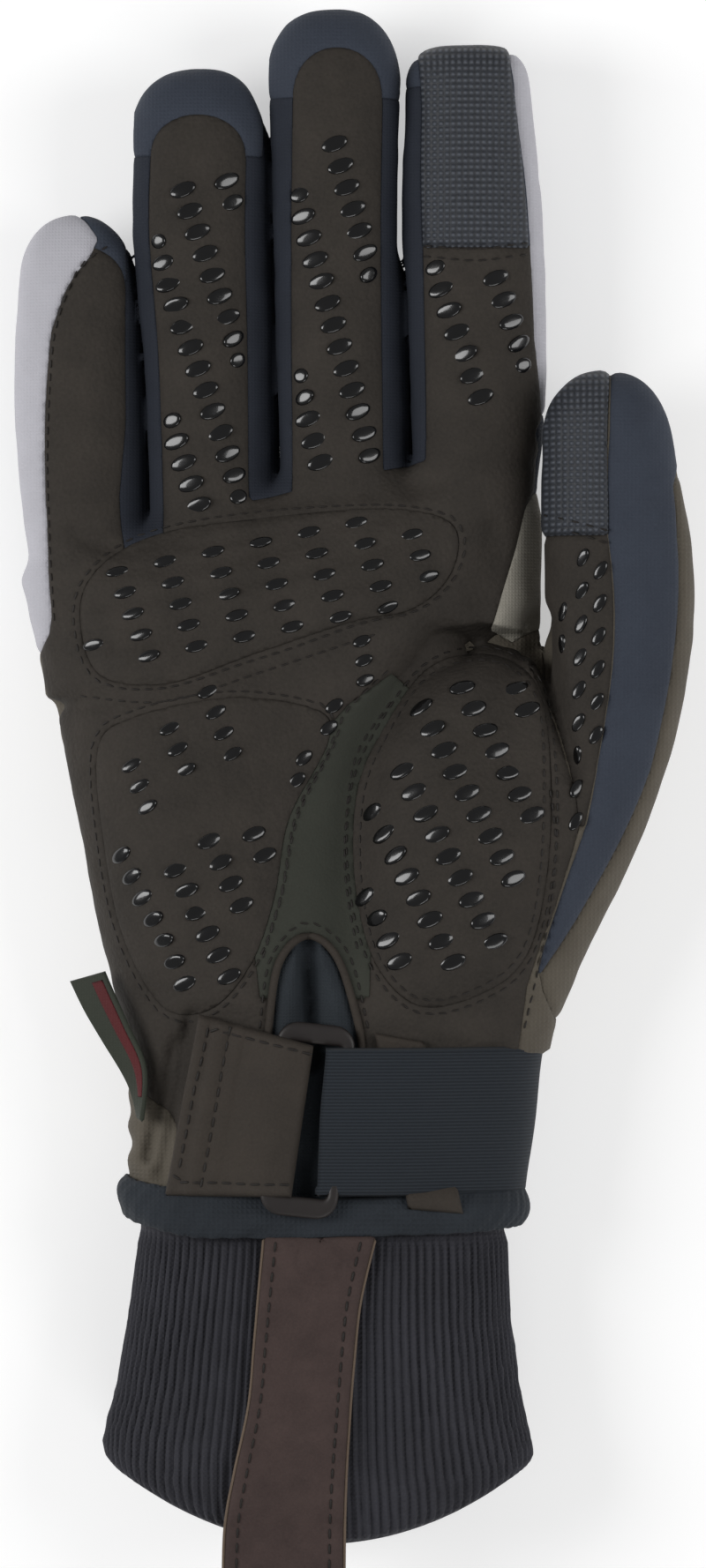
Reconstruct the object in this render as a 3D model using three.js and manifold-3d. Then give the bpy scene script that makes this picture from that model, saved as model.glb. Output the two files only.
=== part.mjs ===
// Winter cycling glove, right hand, lying on its back with the palm up.
// Millimetres. +Z is up, the fingers point along +Y and the thumb lies on the +X side.
// The origin is on the flat resting face, under the middle of the palm.
import * as THREE from "three";
import { mergeVertices } from "three/addons/utils/BufferGeometryUtils.js";
import Module from "manifold-3d";

const wasm = await Module();
wasm.setup();

// Driving sizes of the hand part
const PALM_WIDTH = 93.4;
const PALM_LENGTH = 134;
const PALM_DEPTH = 38;
const WRIST_LIFT = 2.6;
const SHELL_WALL = 2;
const SEAM_GAP = 0.3;

// Heights of the seams that run round the hand, above the resting face
const PALM_SEAM_HEIGHT = 17;
const BACK_SEAM_HEIGHT = 10;
const THUMB_SEAM_HEIGHT = 20;
const THUMB_SIDE_HEIGHT = 24;

// How square a section is: 2 is an ellipse, and more is squarer
const LIMB_SQUARENESS = 2.3;
const PALM_SQUARENESS = 2.6;
const CUFF_SQUARENESS = 2.5;

// The seam across the back, at a share of PALM_LENGTH, and how it rises towards the index finger
const KNUCKLE_LINE = 0.87;
const KNUCKLE_SLOPE = 0.2;

// Where the underside starts to lift towards the wrist, and over what length, as shares of PALM_LENGTH
const LIFT_START = 0.27;
const LIFT_RUN = 0.07;

// Padding, gathers and folds
const PAD_THICKNESS = 1.6;
const GATHER_DEPTH = 0.8;
const GATHER_PITCH = 7;
const GATHER_ROWS = 4;
const GATHER_PLACE = 0.08;
const GATHER_SPREAD = 0.06;
const GUSSET_FOLD_DEPTH = 1.2;
const GUSSET_FOLD = { across: -0.035, along: 0.36, mouth: 0.03 };

// Cuff, hem and pull strap
const CUFF_LENGTH = 63;
const CUFF_WIDTH = 78;
const CUFF_DEPTH = 36;
const CUFF_WALL = 2.4;
const CUFF_UNDER = -0.04;
const CUFF_LIFT_RUN = 0.3;
const RIB_COUNT = 32;
const RIB_HEIGHT = 0.7;
const HEM_LENGTH = 7;
const HEM_THICKNESS = 2.6;
const HEM_OVERLAP = 1.12;
const PULL_STRAP_WIDTH = 20.6;
const PULL_STRAP_LENGTH = 67;
const PULL_STRAP_THICKNESS = 2;
const PULL_STRAP_LEAN = -8.2;
const PULL_STRAP_FLARE = 0.07;
const PULL_STRAP_DROOP = 0.012;
const PULL_STRAP_BEND = 0.4;

// Wrist strap
const STRAP_WIDTH = 27.6;
const STRAP_END_GAP = 0.6;
const TAB_THICKNESS = 4.4;
const TAB_LENGTH = 23;
const TAB_RISE = 4;
const ELASTIC_THICKNESS = 1.8;
const ELASTIC_FOLD_LENGTH = 25;
const ELASTIC_REACH = 22;
const LOOP_WIDTH = 14.5;
const LOOP_LENGTH = 36;
const LOOP_BAR = 2;
const LOOP_END_BAR = 3.8;
const LOOP_CORNER = 4;
const LOOP_INNER_CORNER = 1;
const LOOP_THICKNESS = 1.8;
const LOOP_TILT = 6.3;
const KEEPER_WIDTH = 8;
const KEEPER_LENGTH = 32.5;
const KEEPER_THICKNESS = 1;
const KEEPER_LEAN = 14;

// Label sewn in the side seam
const LABEL_LENGTH = 26;
const LABEL_WIDTH = 8.4;
const LABEL_THICKNESS = 1.2;
const LABEL_TILT = 24;
const LABEL_HEIGHT = 0.78;

// Places that follow from the sizes
const WRIST_Y = -0.567 * PALM_LENGTH;
const HEM_TOP = WRIST_Y + SEAM_GAP + HEM_OVERLAP;
const WRIST_TOP = 0.95 * PALM_DEPTH;
const SKY = 3 * PALM_DEPTH;
const CUT_MARGIN = 1;

// How finely the curved pieces are faceted
const RING_SIDES = { outer: 12, inner: 8 };
const PALM_SIDES = { outer: 22, inner: 14 };
const DOME_RINGS = 3;
const ARCH_STEPS = 5;
const PAD_STEPS = 12;
const CORNER_STEPS = 3;

// The palm from the wrist edge to the crotches of the fingers. along is a share of PALM_LENGTH,
// left and right of PALM_WIDTH, top and under of PALM_DEPTH. slope skews a section towards the
// index finger and bow pulls its sides back, both so that the crotches step up as on a hand.
const PALM_SECTIONS = [
  { along: 0, left: -0.39, right: 0.374, top: 0.9, under: 0.02, slope: 0, bow: 0 },
  { along: 0.142, left: -0.398, right: 0.396, top: 0.95, under: 0.01, slope: 0, bow: 0 },
  { along: 0.194, left: -0.39, right: 0.407, top: 0.96, under: 0, slope: 0, bow: 0 },
  { along: 0.269, left: -0.41, right: 0.43, top: 0.98, under: -0.05, slope: 0, bow: 0 },
  { along: 0.358, left: -0.444, right: 0.455, top: 1, under: -0.08, slope: 0, bow: 0 },
  { along: 0.493, left: -0.488, right: 0.47, top: 0.99, under: -0.08, slope: 0, bow: 0 },
  { along: 0.627, left: -0.525, right: 0.445, top: 0.94, under: -0.07, slope: 0, bow: 0 },
  { along: 0.75, left: -0.56, right: 0.418, top: 0.865, under: -0.04, slope: 0.03, bow: 0.005 },
  { along: 0.836, left: -0.578, right: 0.418, top: 0.81, under: -0.01, slope: 0.08, bow: 0.02 },
  { along: 0.91, left: -0.598, right: 0.418, top: 0.74, under: 0.03, slope: 0.16, bow: 0.045 },
  { along: 0.955, left: -0.595, right: 0.412, top: 0.67, under: 0.08, slope: 0.22, bow: 0.065 },
  { along: 0.98, left: -0.575, right: 0.4, top: 0.6, under: 0.15, slope: 0.24, bow: 0.075 },
];

// Swells and hollows of the palm's face. across and wide are shares of PALM_WIDTH, along and
// long of PALM_LENGTH, height of PALM_DEPTH.
const PALM_FORMS = [
  { name: "palm hollow", across: 0, along: 0.58, wide: 0.2, long: 0.2, height: -0.13 },
  { name: "valley by the thumb ball", across: 0.06, along: 0.4, wide: 0.06, long: 0.16, height: -0.07 },
  { name: "thumb ball", across: 0.27, along: 0.5, wide: 0.14, long: 0.15, height: 0.06 },
  { name: "heel", across: -0.27, along: 0.42, wide: 0.14, long: 0.16, height: 0.03 },
  { name: "knuckle roll", across: -0.15, along: 0.85, wide: 0.3, long: 0.06, height: 0.03 },
];

// Fingers and thumb. rootAcross is a share of PALM_WIDTH and rootAlong of PALM_LENGTH. A section's
// along is a share of the finger's length, shift and wide are shares of its width, deep of its depth.
const LIMBS = {
  little: {
    rootAcross: -0.439,
    rootAlong: 0.7164,
    length: 88.2,
    width: 22.8,
    depth: 20.5,
    rootHeight: 14,
    lift: 3,
    tipPower: 2.2,
    sections: [
      { along: 0, shift: 0, wide: 0.83, deep: 0.9 },
      { along: 0.17, shift: -0.11, wide: 0.93, deep: 1 },
      { along: 0.335, shift: -0.215, wide: 0.94, deep: 1 },
      { along: 0.52, shift: -0.26, wide: 1, deep: 0.97 },
      { along: 0.71, shift: -0.28, wide: 0.99, deep: 0.95 },
      { along: 0.87, shift: -0.255, wide: 0.92, deep: 0.9 },
    ],
  },
  ring: {
    rootAcross: -0.241,
    rootAlong: 0.791,
    length: 105.8,
    width: 26.6,
    depth: 23,
    rootHeight: 14,
    lift: 4,
    tipPower: 2.3,
    sections: [
      { along: 0, shift: 0, wide: 0.83, deep: 0.9 },
      { along: 0.263, shift: -0.01, wide: 0.86, deep: 1 },
      { along: 0.73, shift: -0.085, wide: 0.98, deep: 0.95 },
      { along: 0.887, shift: -0.05, wide: 0.92, deep: 0.9 },
    ],
  },
  middle: {
    rootAcross: 0.0214,
    rootAlong: 0.806,
    length: 114.9,
    width: 25,
    depth: 23,
    rootHeight: 14,
    lift: 4.5,
    tipPower: 2.3,
    sections: [
      { along: 0, shift: 0, wide: 0.92, deep: 0.9 },
      { along: 0.252, shift: 0, wide: 0.95, deep: 1 },
      { along: 0.655, shift: -0.035, wide: 0.97, deep: 0.95 },
      { along: 0.879, shift: -0.03, wide: 1, deep: 0.9 },
    ],
  },
  index: {
    rootAcross: 0.2816,
    rootAlong: 0.791,
    length: 109.6,
    width: 27,
    depth: 23.5,
    rootHeight: 14.5,
    lift: 4,
    tipPower: 3.4,
    sections: [
      { along: 0, shift: 0, wide: 0.87, deep: 0.9 },
      { along: 0.228, shift: 0.02, wide: 0.89, deep: 1 },
      { along: 0.374, shift: 0.062, wide: 0.97, deep: 0.98 },
      { along: 0.555, shift: 0.052, wide: 0.99, deep: 0.97 },
      { along: 0.78, shift: 0.025, wide: 0.96, deep: 0.93 },
      { along: 0.92, shift: 0.005, wide: 0.83, deep: 0.86 },
    ],
  },
  thumb: {
    rootAcross: 0.289,
    rootAlong: 0.224,
    length: 124.4,
    width: 30,
    depth: 27,
    rootHeight: 18.5,
    lift: 7,
    tipPower: 2.2,
    sections: [
      { along: 0, shift: 0, wide: 0.8, deep: 0.85 },
      { along: 0.12, shift: 0.17, wide: 0.98, deep: 1.02 },
      { along: 0.273, shift: 0.467, wide: 1.107, deep: 1.1 },
      { along: 0.37, shift: 0.65, wide: 1.033, deep: 1.05 },
      { along: 0.51, shift: 0.833, wide: 1, deep: 1 },
      { along: 0.622, shift: 0.925, wide: 0.93, deep: 0.97 },
      { along: 0.77, shift: 0.91, wide: 0.913, deep: 0.93 },
      { along: 0.845, shift: 0.867, wide: 0.833, deep: 0.9 },
      { along: 0.92, shift: 0.837, wide: 0.727, deep: 0.82 },
    ],
  },
};

// Panel edges on a finger: along is a share of the finger's length, left and right are shares of
// its half width there, so 1 is the silhouette and more than 1 takes the whole side.
const FINGER_FRONTS = {
  little: {
    rows: [
      { along: 0, left: -0.9, right: 0.7 },
      { along: 0.4, left: -1.3, right: 0.71 },
      { along: 0.56, left: -1.3, right: 0.86 },
      { along: 0.84, left: -1.3, right: 0.9 },
    ],
    arch: 0.94,
  },
  ring: {
    rows: [
      { along: 0, left: -0.7, right: 0.74 },
      { along: 0.82, left: -0.7, right: 0.74 },
    ],
    arch: 0.913,
  },
  middle: {
    rows: [
      { along: 0, left: -0.76, right: 0.74 },
      { along: 0.835, left: -0.68, right: 0.78 },
    ],
    arch: 0.929,
  },
  index: {
    rows: [
      { along: 0, left: -0.72, right: 0.9 },
      { along: 0.37, left: -0.72, right: 1.3 },
      { along: 0.65, left: -0.72, right: 0.9 },
    ],
    arch: 0.655,
  },
};

const LITTLE_GREY = [
  { along: 0.03, left: -1.9, right: -1.6 },
  { along: 0.075, left: -1.9, right: -1.15 },
  { along: 0.11, left: -1.9, right: -0.92 },
  { along: 0.147, left: -1.7, right: -0.79 },
  { along: 0.263, left: -1.6, right: -0.68 },
  { along: 0.34, left: -1.5, right: -0.6 },
  { along: 0.635, left: -1.4, right: -0.45 },
  { along: 0.754, left: -1.4, right: -0.37 },
  { along: 0.85, left: -1.4, right: -0.12 },
  { along: 0.935, left: -1.4, right: 0.42 },
  { along: 0.985, left: -1.4, right: 0.2 },
];
const INDEX_GREY = [
  { along: 0.373, left: 0.97, right: 1.4 },
  { along: 0.5, left: 0.84, right: 1.4 },
  { along: 0.75, left: 0.8, right: 1.4 },
  { along: 0.95, left: 0.72, right: 1.4 },
  { along: 1, left: 0.66, right: 1.4 },
];
const INDEX_TOUCH = [
  { along: 0.655, left: -0.72, right: 0.8 },
  { along: 0.9, left: -0.74, right: 0.75 },
  { along: 1.03, left: -0.9, right: 0.6 },
];

// Panel edges on the thumb, in the same way
const THUMB_TOUCH = [
  { along: 0.755, left: -1.4, right: -0.15 },
  { along: 0.85, left: -1.4, right: -0.08 },
  { along: 0.96, left: -1.4, right: 0 },
  { along: 1.03, left: -1.4, right: 0.1 },
];
const THUMB_FRONT = [
  { along: 0.32, left: 0.2, right: 0.27 },
  { along: 0.4, left: -0.12, right: 0.15 },
  { along: 0.5, left: -0.63, right: 0.04 },
  { along: 0.62, left: -1.4, right: -0.07 },
  { along: 0.757, left: -1.4, right: -0.16 },
];
const THUMB_SIDE = [
  { along: 0.1, left: 0.55, right: 0.6 },
  { along: 0.155, left: 0.45, right: 0.7 },
  { along: 0.245, left: 0.34, right: 0.75 },
  { along: 0.34, left: 0.27, right: 0.8 },
  { along: 0.4, left: 0.16, right: 0.83 },
  { along: 0.5, left: 0.05, right: 0.79 },
  { along: 0.62, left: -0.05, right: 0.79 },
  { along: 0.755, left: -0.15, right: 0.83 },
  { along: 0.85, left: -0.08, right: 0.93 },
  { along: 0.9, left: 0, right: 1.4 },
  { along: 1.03, left: 0.1, right: 1.4 },
];
const THUMB_WHOLE = [
  { along: 0.03, left: 1.1, right: 1.5 },
  { along: 0.1, left: 0.5, right: 1.5 },
  { along: 0.245, left: 0.3, right: 1.5 },
  { along: 0.34, left: 0.18, right: 1.5 },
  { along: 0.4, left: -0.14, right: 1.5 },
  { along: 0.5, left: -0.65, right: 1.5 },
  { along: 0.62, left: -1.03, right: 1.5 },
  { along: 0.7, left: -1.05, right: 1.5 },
  { along: 0.85, left: -1.1, right: 1.5 },
  { along: 1.05, left: -1.4, right: 1.5 },
];

// Edges of the leather on the palm: along is a share of PALM_LENGTH, left and right of the
// palm's half width there.
const PALM_FRONT = [
  { along: -0.02, left: -0.7, right: 1.2 },
  { along: 0.12, left: -0.74, right: 1.2 },
  { along: 0.19, left: -1.2, right: 1.2 },
  { along: 0.77, left: -1.2, right: 1.2 },
  { along: 0.83, left: -1.2, right: 0.84 },
  { along: 0.9, left: -0.8, right: 0.89 },
  { along: 0.97, left: -0.3, right: 0.96 },
];

// Where the front panel's outline stops following the palm's width
const FRONT_REACH = 0.98;

// The strips between the fingers: where they start, how far they reach under the fronts, the
// steps along their edges, and where they end on the two fingers
const STRIP_START = 0.08;
const STRIP_OVERLAP = 0.1;
const STRIP_STEPS = 4;
const STRIP_TOPS = {
  little_ring: [0.86, 0.84],
  ring_middle: [0.84, 0.85],
  middle_index: [0.85, 0.9],
};

// Where the loop, the keeper, the pull strap and the label sit, as shares of the palm's size
const LOOP_ACROSS = -0.0375;
const KEEPER_ACROSS = 0.19;
const PULL_STRAP_ACROSS = -0.008;
const LABEL_ACROSS = -0.36;
const LABEL_ALONG = 0.11;

// The pull strap's steps along and across, and how its lean grows along it
const PULL_STRAP_STEPS = 9;
const PULL_STRAP_FACETS = 4;
const PULL_STRAP_LEAN_POWER = 0.8;

// The label's outline: across is a share of LABEL_WIDTH and along of LABEL_LENGTH
const LABEL_OUTLINE = [
  { across: 0, along: 0 },
  { across: 0.35, along: 0.35 },
  { across: -0.3, along: 0.97 },
  { across: -1.3, along: 1 },
  { across: -0.85, along: 0.62 },
  { across: -0.3, along: 0.3 },
];

// Outlines of the pads and of the arch at the wrist: across is a share of PALM_WIDTH and along of
// PALM_LENGTH
const KNUCKLE_PAD = [
  { across: -0.5, along: 0.8 },
  { across: -0.4, along: 0.905 },
  { across: -0.12, along: 0.94 },
  { across: 0.17, along: 0.955 },
  { across: 0.265, along: 0.91 },
  { across: 0.23, along: 0.835 },
  { across: 0.08, along: 0.81 },
  { across: -0.2, along: 0.755 },
  { across: -0.43, along: 0.73 },
];
const HEEL_PAD = [
  { across: -0.44, along: 0.655 },
  { across: -0.21, along: 0.69 },
  { across: -0.01, along: 0.665 },
  { across: -0.07, along: 0.535 },
  { across: -0.103, along: 0.425 },
  { across: -0.19, along: 0.29 },
  { across: -0.3, along: 0.265 },
  { across: -0.38, along: 0.33 },
  { across: -0.43, along: 0.49 },
];
const THUMB_BALL_PAD = [
  { across: 0.06, along: 0.45 },
  { across: 0.09, along: 0.59 },
  { across: 0.19, along: 0.665 },
  { across: 0.34, along: 0.68 },
  { across: 0.42, along: 0.6 },
  { across: 0.425, along: 0.45 },
  { across: 0.34, along: 0.35 },
  { across: 0.19, along: 0.325 },
  { across: 0.09, along: 0.37 },
];
const WRIST_ARCH = [
  { across: -0.14, along: -0.02 },
  { across: -0.125, along: 0.18 },
  { across: -0.107, along: 0.28 },
  { across: -0.085, along: 0.34 },
  { across: -0.04, along: 0.373 },
  { across: 0.018, along: 0.345 },
  { across: 0.055, along: 0.28 },
  { across: 0.075, along: 0.18 },
  { across: 0.09, along: -0.02 },
];

// The knitted cuff from the hem down. along is a share of CUFF_LENGTH, left and right of
// CUFF_WIDTH, top of CUFF_DEPTH, and bow pulls the sides of a section up, as a share of CUFF_LENGTH.
const CUFF_SECTIONS = [
  { along: 1, left: -0.49, right: 0.462, top: 0.9, bow: 0.2, rib: 0.2 },
  { along: 0.975, left: -0.51, right: 0.48, top: 0.96, bow: 0.2, rib: 1 },
  { along: 0.88, left: -0.525, right: 0.487, top: 1, bow: 0.17, rib: 1 },
  { along: 0.6, left: -0.497, right: 0.455, top: 0.98, bow: 0.05, rib: 1 },
  { along: 0.14, left: -0.447, right: 0.427, top: 0.92, bow: 0, rib: 1 },
  { along: 0, left: -0.444, right: 0.425, top: 0.9, bow: 0, rib: 0.1 },
];

// Geometry helpers

// A closed surface through rings of points that follow each other towards +Y
function loft(rings) {
  const sides = rings[0].length;
  const positions = [];
  const faces = [];
  rings.forEach((ring) => ring.forEach((p) => positions.push(p.x, p.y, p.z)));
  const centreOf = (ring) => {
    const middle = new THREE.Vector3();
    ring.forEach((p) => middle.add(p));
    middle.divideScalar(ring.length);
    positions.push(middle.x, middle.y, middle.z);
    return positions.length / 3 - 1;
  };
  for (let i = 0; i + 1 < rings.length; i++) {
    for (let j = 0; j < sides; j++) {
      const next = (j + 1) % sides;
      const a = i * sides + j;
      const b = i * sides + next;
      faces.push(a, a + sides, b, b, a + sides, b + sides);
    }
  }
  const first = centreOf(rings[0]);
  const last = centreOf(rings[rings.length - 1]);
  const end = (rings.length - 1) * sides;
  for (let j = 0; j < sides; j++) {
    const next = (j + 1) % sides;
    faces.push(first, j, next);
    faces.push(last, end + next, end + j);
  }
  const geometry = new THREE.BufferGeometry();
  geometry.setAttribute("position", new THREE.Float32BufferAttribute(positions, 3));
  geometry.setIndex(faces);
  return geometry;
}

// A three.js geometry as a solid that can be joined and cut
function solid(geometry) {
  const bare = geometry.clone();
  bare.deleteAttribute("normal");
  bare.deleteAttribute("uv");
  const merged = mergeVertices(bare, 1e-4);
  return new wasm.Manifold(
    new wasm.Mesh({
      numProp: 3,
      vertProperties: new Float32Array(merged.attributes.position.array),
      triVerts: new Uint32Array(merged.index.array),
    }),
  );
}

// The solid's main body, without slivers that a seam leaves beside it
function mainBody(made) {
  const bodies = made.decompose();
  return bodies.reduce((best, body) => (body.volume() > best.volume() ? body : best));
}

// A solid back as a three.js geometry
function geometryOf(made) {
  const mesh = mainBody(made).getMesh();
  const positions = new Float32Array(mesh.numVert * 3);
  for (let i = 0; i < mesh.numVert; i++) {
    positions.set(mesh.vertProperties.subarray(i * mesh.numProp, i * mesh.numProp + 3), i * 3);
  }
  const geometry = new THREE.BufferGeometry();
  geometry.setAttribute("position", new THREE.BufferAttribute(positions, 3));
  geometry.setIndex(new THREE.BufferAttribute(mesh.triVerts, 1));
  geometry.computeVertexNormals();
  return geometry;
}

// An upright prism over an outline, between two heights
function prism(outline, low, high) {
  const shape = new THREE.Shape(outline);
  const geometry = new THREE.ExtrudeGeometry(shape, { depth: high - low, bevelEnabled: false });
  geometry.translate(0, 0, low);
  return solid(geometry);
}

// An outline moved outwards by a distance, with mitred corners
function grown(outline, distance) {
  const turned = THREE.ShapeUtils.area(outline) < 0 ? [...outline].reverse() : outline;
  return turned.map((point, i) => {
    const before = turned[(i + turned.length - 1) % turned.length];
    const after = turned[(i + 1) % turned.length];
    const first = point.clone().sub(before).normalize();
    const second = after.clone().sub(point).normalize();
    const normal = new THREE.Vector2(first.y + second.y, -first.x - second.x).normalize();
    const miter = Math.max(0.5, normal.dot(new THREE.Vector2(first.y, -first.x)));
    return point.clone().addScaledVector(normal, distance / miter);
  });
}

// A value between the rows of a table, by its along column
function between(rows, along, column) {
  const place = THREE.MathUtils.clamp(along, rows[0].along, rows[rows.length - 1].along);
  const next = Math.max(1, rows.findIndex((row) => row.along >= place));
  const low = rows[next - 1];
  const high = rows[next];
  const share = (place - low.along) / (high.along - low.along);
  return THREE.MathUtils.lerp(low[column], high[column], share);
}

// A power that keeps its sign, for rings rounder or squarer than an ellipse
function bent(value, power) {
  return Math.sign(value) * Math.abs(value) ** (2 / power);
}

// Fingers and thumb

// The place and half sizes of a finger at a share of its length
function limbAt(limb, along) {
  const share = Math.min(along, 1);
  return {
    x: limb.rootAcross * PALM_WIDTH + between(limb.sections, share, "shift") * limb.width,
    y: WRIST_Y + limb.rootAlong * PALM_LENGTH + along * limb.length,
    z: limb.rootHeight + limb.lift * Math.max(0, share) ** 2,
    halfWidth: (between(limb.sections, share, "wide") * limb.width) / 2,
    halfDepth: (between(limb.sections, share, "deep") * limb.depth) / 2,
  };
}

// A finger as a closed form. inset draws it in on all sides, or puffs it up when it is negative.
function limbForm(limb, inset) {
  const rows = limb.sections.map((row) => ({ along: row.along, scale: 1 }));
  const domeStart = limb.sections[limb.sections.length - 1].along;
  const domeShare = 1 - domeStart - inset / limb.length;
  for (let k = 1; k <= DOME_RINGS; k++) {
    const turn = (k / (DOME_RINGS + 0.5)) * (Math.PI / 2);
    rows.push({
      along: domeStart + domeShare * bent(Math.sin(turn), limb.tipPower),
      scale: bent(Math.cos(turn), limb.tipPower),
    });
  }
  const rings = rows.map(({ along, scale }) => {
    const at = limbAt(limb, along);
    const wide = (at.halfWidth - inset) * scale;
    const deep = (at.halfDepth - inset) * scale;
    const sides = inset > 0 ? RING_SIDES.inner : RING_SIDES.outer;
    return Array.from({ length: sides }, (_, j) => {
      const turn = (2 * Math.PI * j) / sides;
      return new THREE.Vector3(
        at.x + wide * bent(Math.cos(turn), LIMB_SQUARENESS),
        at.y,
        at.z + deep * bent(Math.sin(turn), LIMB_SQUARENESS),
      );
    });
  });
  return solid(loft(rings));
}

// The outline of a panel on a finger, up its left edge and down its right one. arch is the share
// of the length where a rounded top ends.
function limbOutline(limb, rows, arch) {
  const edge = (row, side) => {
    const at = limbAt(limb, row.along);
    return new THREE.Vector2(at.x + row[side] * at.halfWidth, at.y);
  };
  const left = rows.map((row) => edge(row, "left"));
  const right = rows.map((row) => edge(row, "right")).reverse();
  const top = [];
  if (arch) {
    const from = left[left.length - 1];
    const to = right[0];
    const rise = limbAt(limb, arch).y - from.y;
    for (let k = 1; k < ARCH_STEPS; k++) {
      const turn = (Math.PI * k) / ARCH_STEPS;
      const share = (1 - Math.cos(turn)) / 2;
      top.push(new THREE.Vector2(from.x + share * (to.x - from.x), from.y + rise * Math.sin(turn)));
    }
  }
  return [...left, ...top, ...right];
}

// Palm

const palmX = (across) => across * PALM_WIDTH;
const palmY = (along) => WRIST_Y + along * PALM_LENGTH;

// How far the palm's face stands out or dips at a place
function palmRelief(x, y) {
  return PALM_FORMS.reduce((sum, form) => {
    const sideways = (x - palmX(form.across)) / (form.wide * PALM_WIDTH);
    const lengthways = (y - palmY(form.along)) / (form.long * PALM_LENGTH);
    return sum + form.height * PALM_DEPTH * Math.exp(-(sideways ** 2) - lengthways ** 2);
  }, 0);
}

// The gathers at the little-finger side of the wrist
function gather(turn, y) {
  const side = Math.max(0, -Math.cos(turn)) ** 5;
  const fade = Math.exp(-(((y - palmY(GATHER_PLACE)) / (GATHER_SPREAD * PALM_LENGTH)) ** 2));
  return GATHER_DEPTH * side * fade * Math.cos((2 * Math.PI * (y - WRIST_Y)) / GATHER_PITCH);
}

// A palm section's centre and half sizes at a share of the palm's length
function palmAt(along) {
  const left = palmX(between(PALM_SECTIONS, along, "left"));
  const right = palmX(between(PALM_SECTIONS, along, "right"));
  const top = between(PALM_SECTIONS, along, "top") * PALM_DEPTH;
  const under = between(PALM_SECTIONS, along, "under") * PALM_DEPTH;
  return {
    x: (left + right) / 2,
    y: palmY(along),
    z: (top + under) / 2,
    halfWidth: (right - left) / 2,
    halfDepth: (top - under) / 2,
  };
}

// Where the palm's underside is flattened: on the resting face, but lifted clear at the wrist
function palmFloor(along) {
  return WRIST_LIFT * THREE.MathUtils.clamp((LIFT_START - along) / LIFT_RUN, 0, 1);
}

// One ring of the palm. A smooth ring, for what is wound round the wrist, leaves the gathers out.
function palmRing(along, inset, shift, smooth) {
  const at = palmAt(along);
  const slope = between(PALM_SECTIONS, along, "slope");
  const bow = between(PALM_SECTIONS, along, "bow") * PALM_LENGTH;
  const sides = inset > 0 ? PALM_SIDES.inner : PALM_SIDES.outer;
  return Array.from({ length: sides }, (_, j) => {
    const turn = (2 * Math.PI * j) / sides;
    const wide = at.halfWidth - inset + (smooth ? 0 : gather(turn, at.y));
    const x = at.x + wide * bent(Math.cos(turn), PALM_SQUARENESS);
    const sideways = (x - at.x) / at.halfWidth;
    const y = at.y + shift + slope * (x - at.x) - bow * sideways ** 2;
    const face = Math.max(0, Math.sin(turn)) ** 0.5 * palmRelief(x, y);
    const z = at.z + (at.halfDepth - inset) * bent(Math.sin(turn), PALM_SQUARENESS) + face;
    return new THREE.Vector3(x, y, Math.max(z, palmFloor(along) + inset));
  });
}

// The palm as a closed form. Its hollow starts beyond the wrist edge, so that the mouth is open.
function palmForm(inset, mouth) {
  const alongs = PALM_SECTIONS.map((row) => row.along);
  for (let k = 1; k <= GATHER_ROWS; k++) {
    alongs.push((k * GATHER_PITCH) / 2 / PALM_LENGTH);
  }
  const rings = alongs
    .sort((a, b) => a - b)
    .map((along) => palmRing(along, inset, along > 0.9 ? -inset : 0, false));
  if (mouth) {
    rings.unshift(palmRing(0, inset, -mouth, false));
  }
  return solid(loft(rings));
}

// All the outer or inner forms of the hand as one solid
function handForm(inset, mouth) {
  return Object.values(LIMBS).reduce(
    (sum, limb) => sum.add(limbForm(limb, inset)),
    palmForm(inset, mouth),
  );
}

// Smooth closed outlines on the palm
function palmOutline(table, smooth) {
  const points = table.map((row) => new THREE.Vector3(palmX(row.across), palmY(row.along), 0));
  const curve = new THREE.CatmullRomCurve3(points, true);
  const ring = smooth ? curve.getPoints(PAD_STEPS).slice(0, -1) : points;
  return ring.map((p) => new THREE.Vector2(p.x, p.y));
}

function palmFrontOutline() {
  const edge = (row, side) => {
    const at = palmAt(THREE.MathUtils.clamp(row.along, 0, FRONT_REACH));
    const x = at.x + row[side] * at.halfWidth;
    const slope = between(PALM_SECTIONS, row.along, "slope");
    return new THREE.Vector2(x, palmY(row.along) + slope * (x - at.x));
  };
  const left = PALM_FRONT.map((row) => edge(row, "left"));
  const right = PALM_FRONT.map((row) => edge(row, "right")).reverse();
  return [...left, ...right];
}

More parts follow.
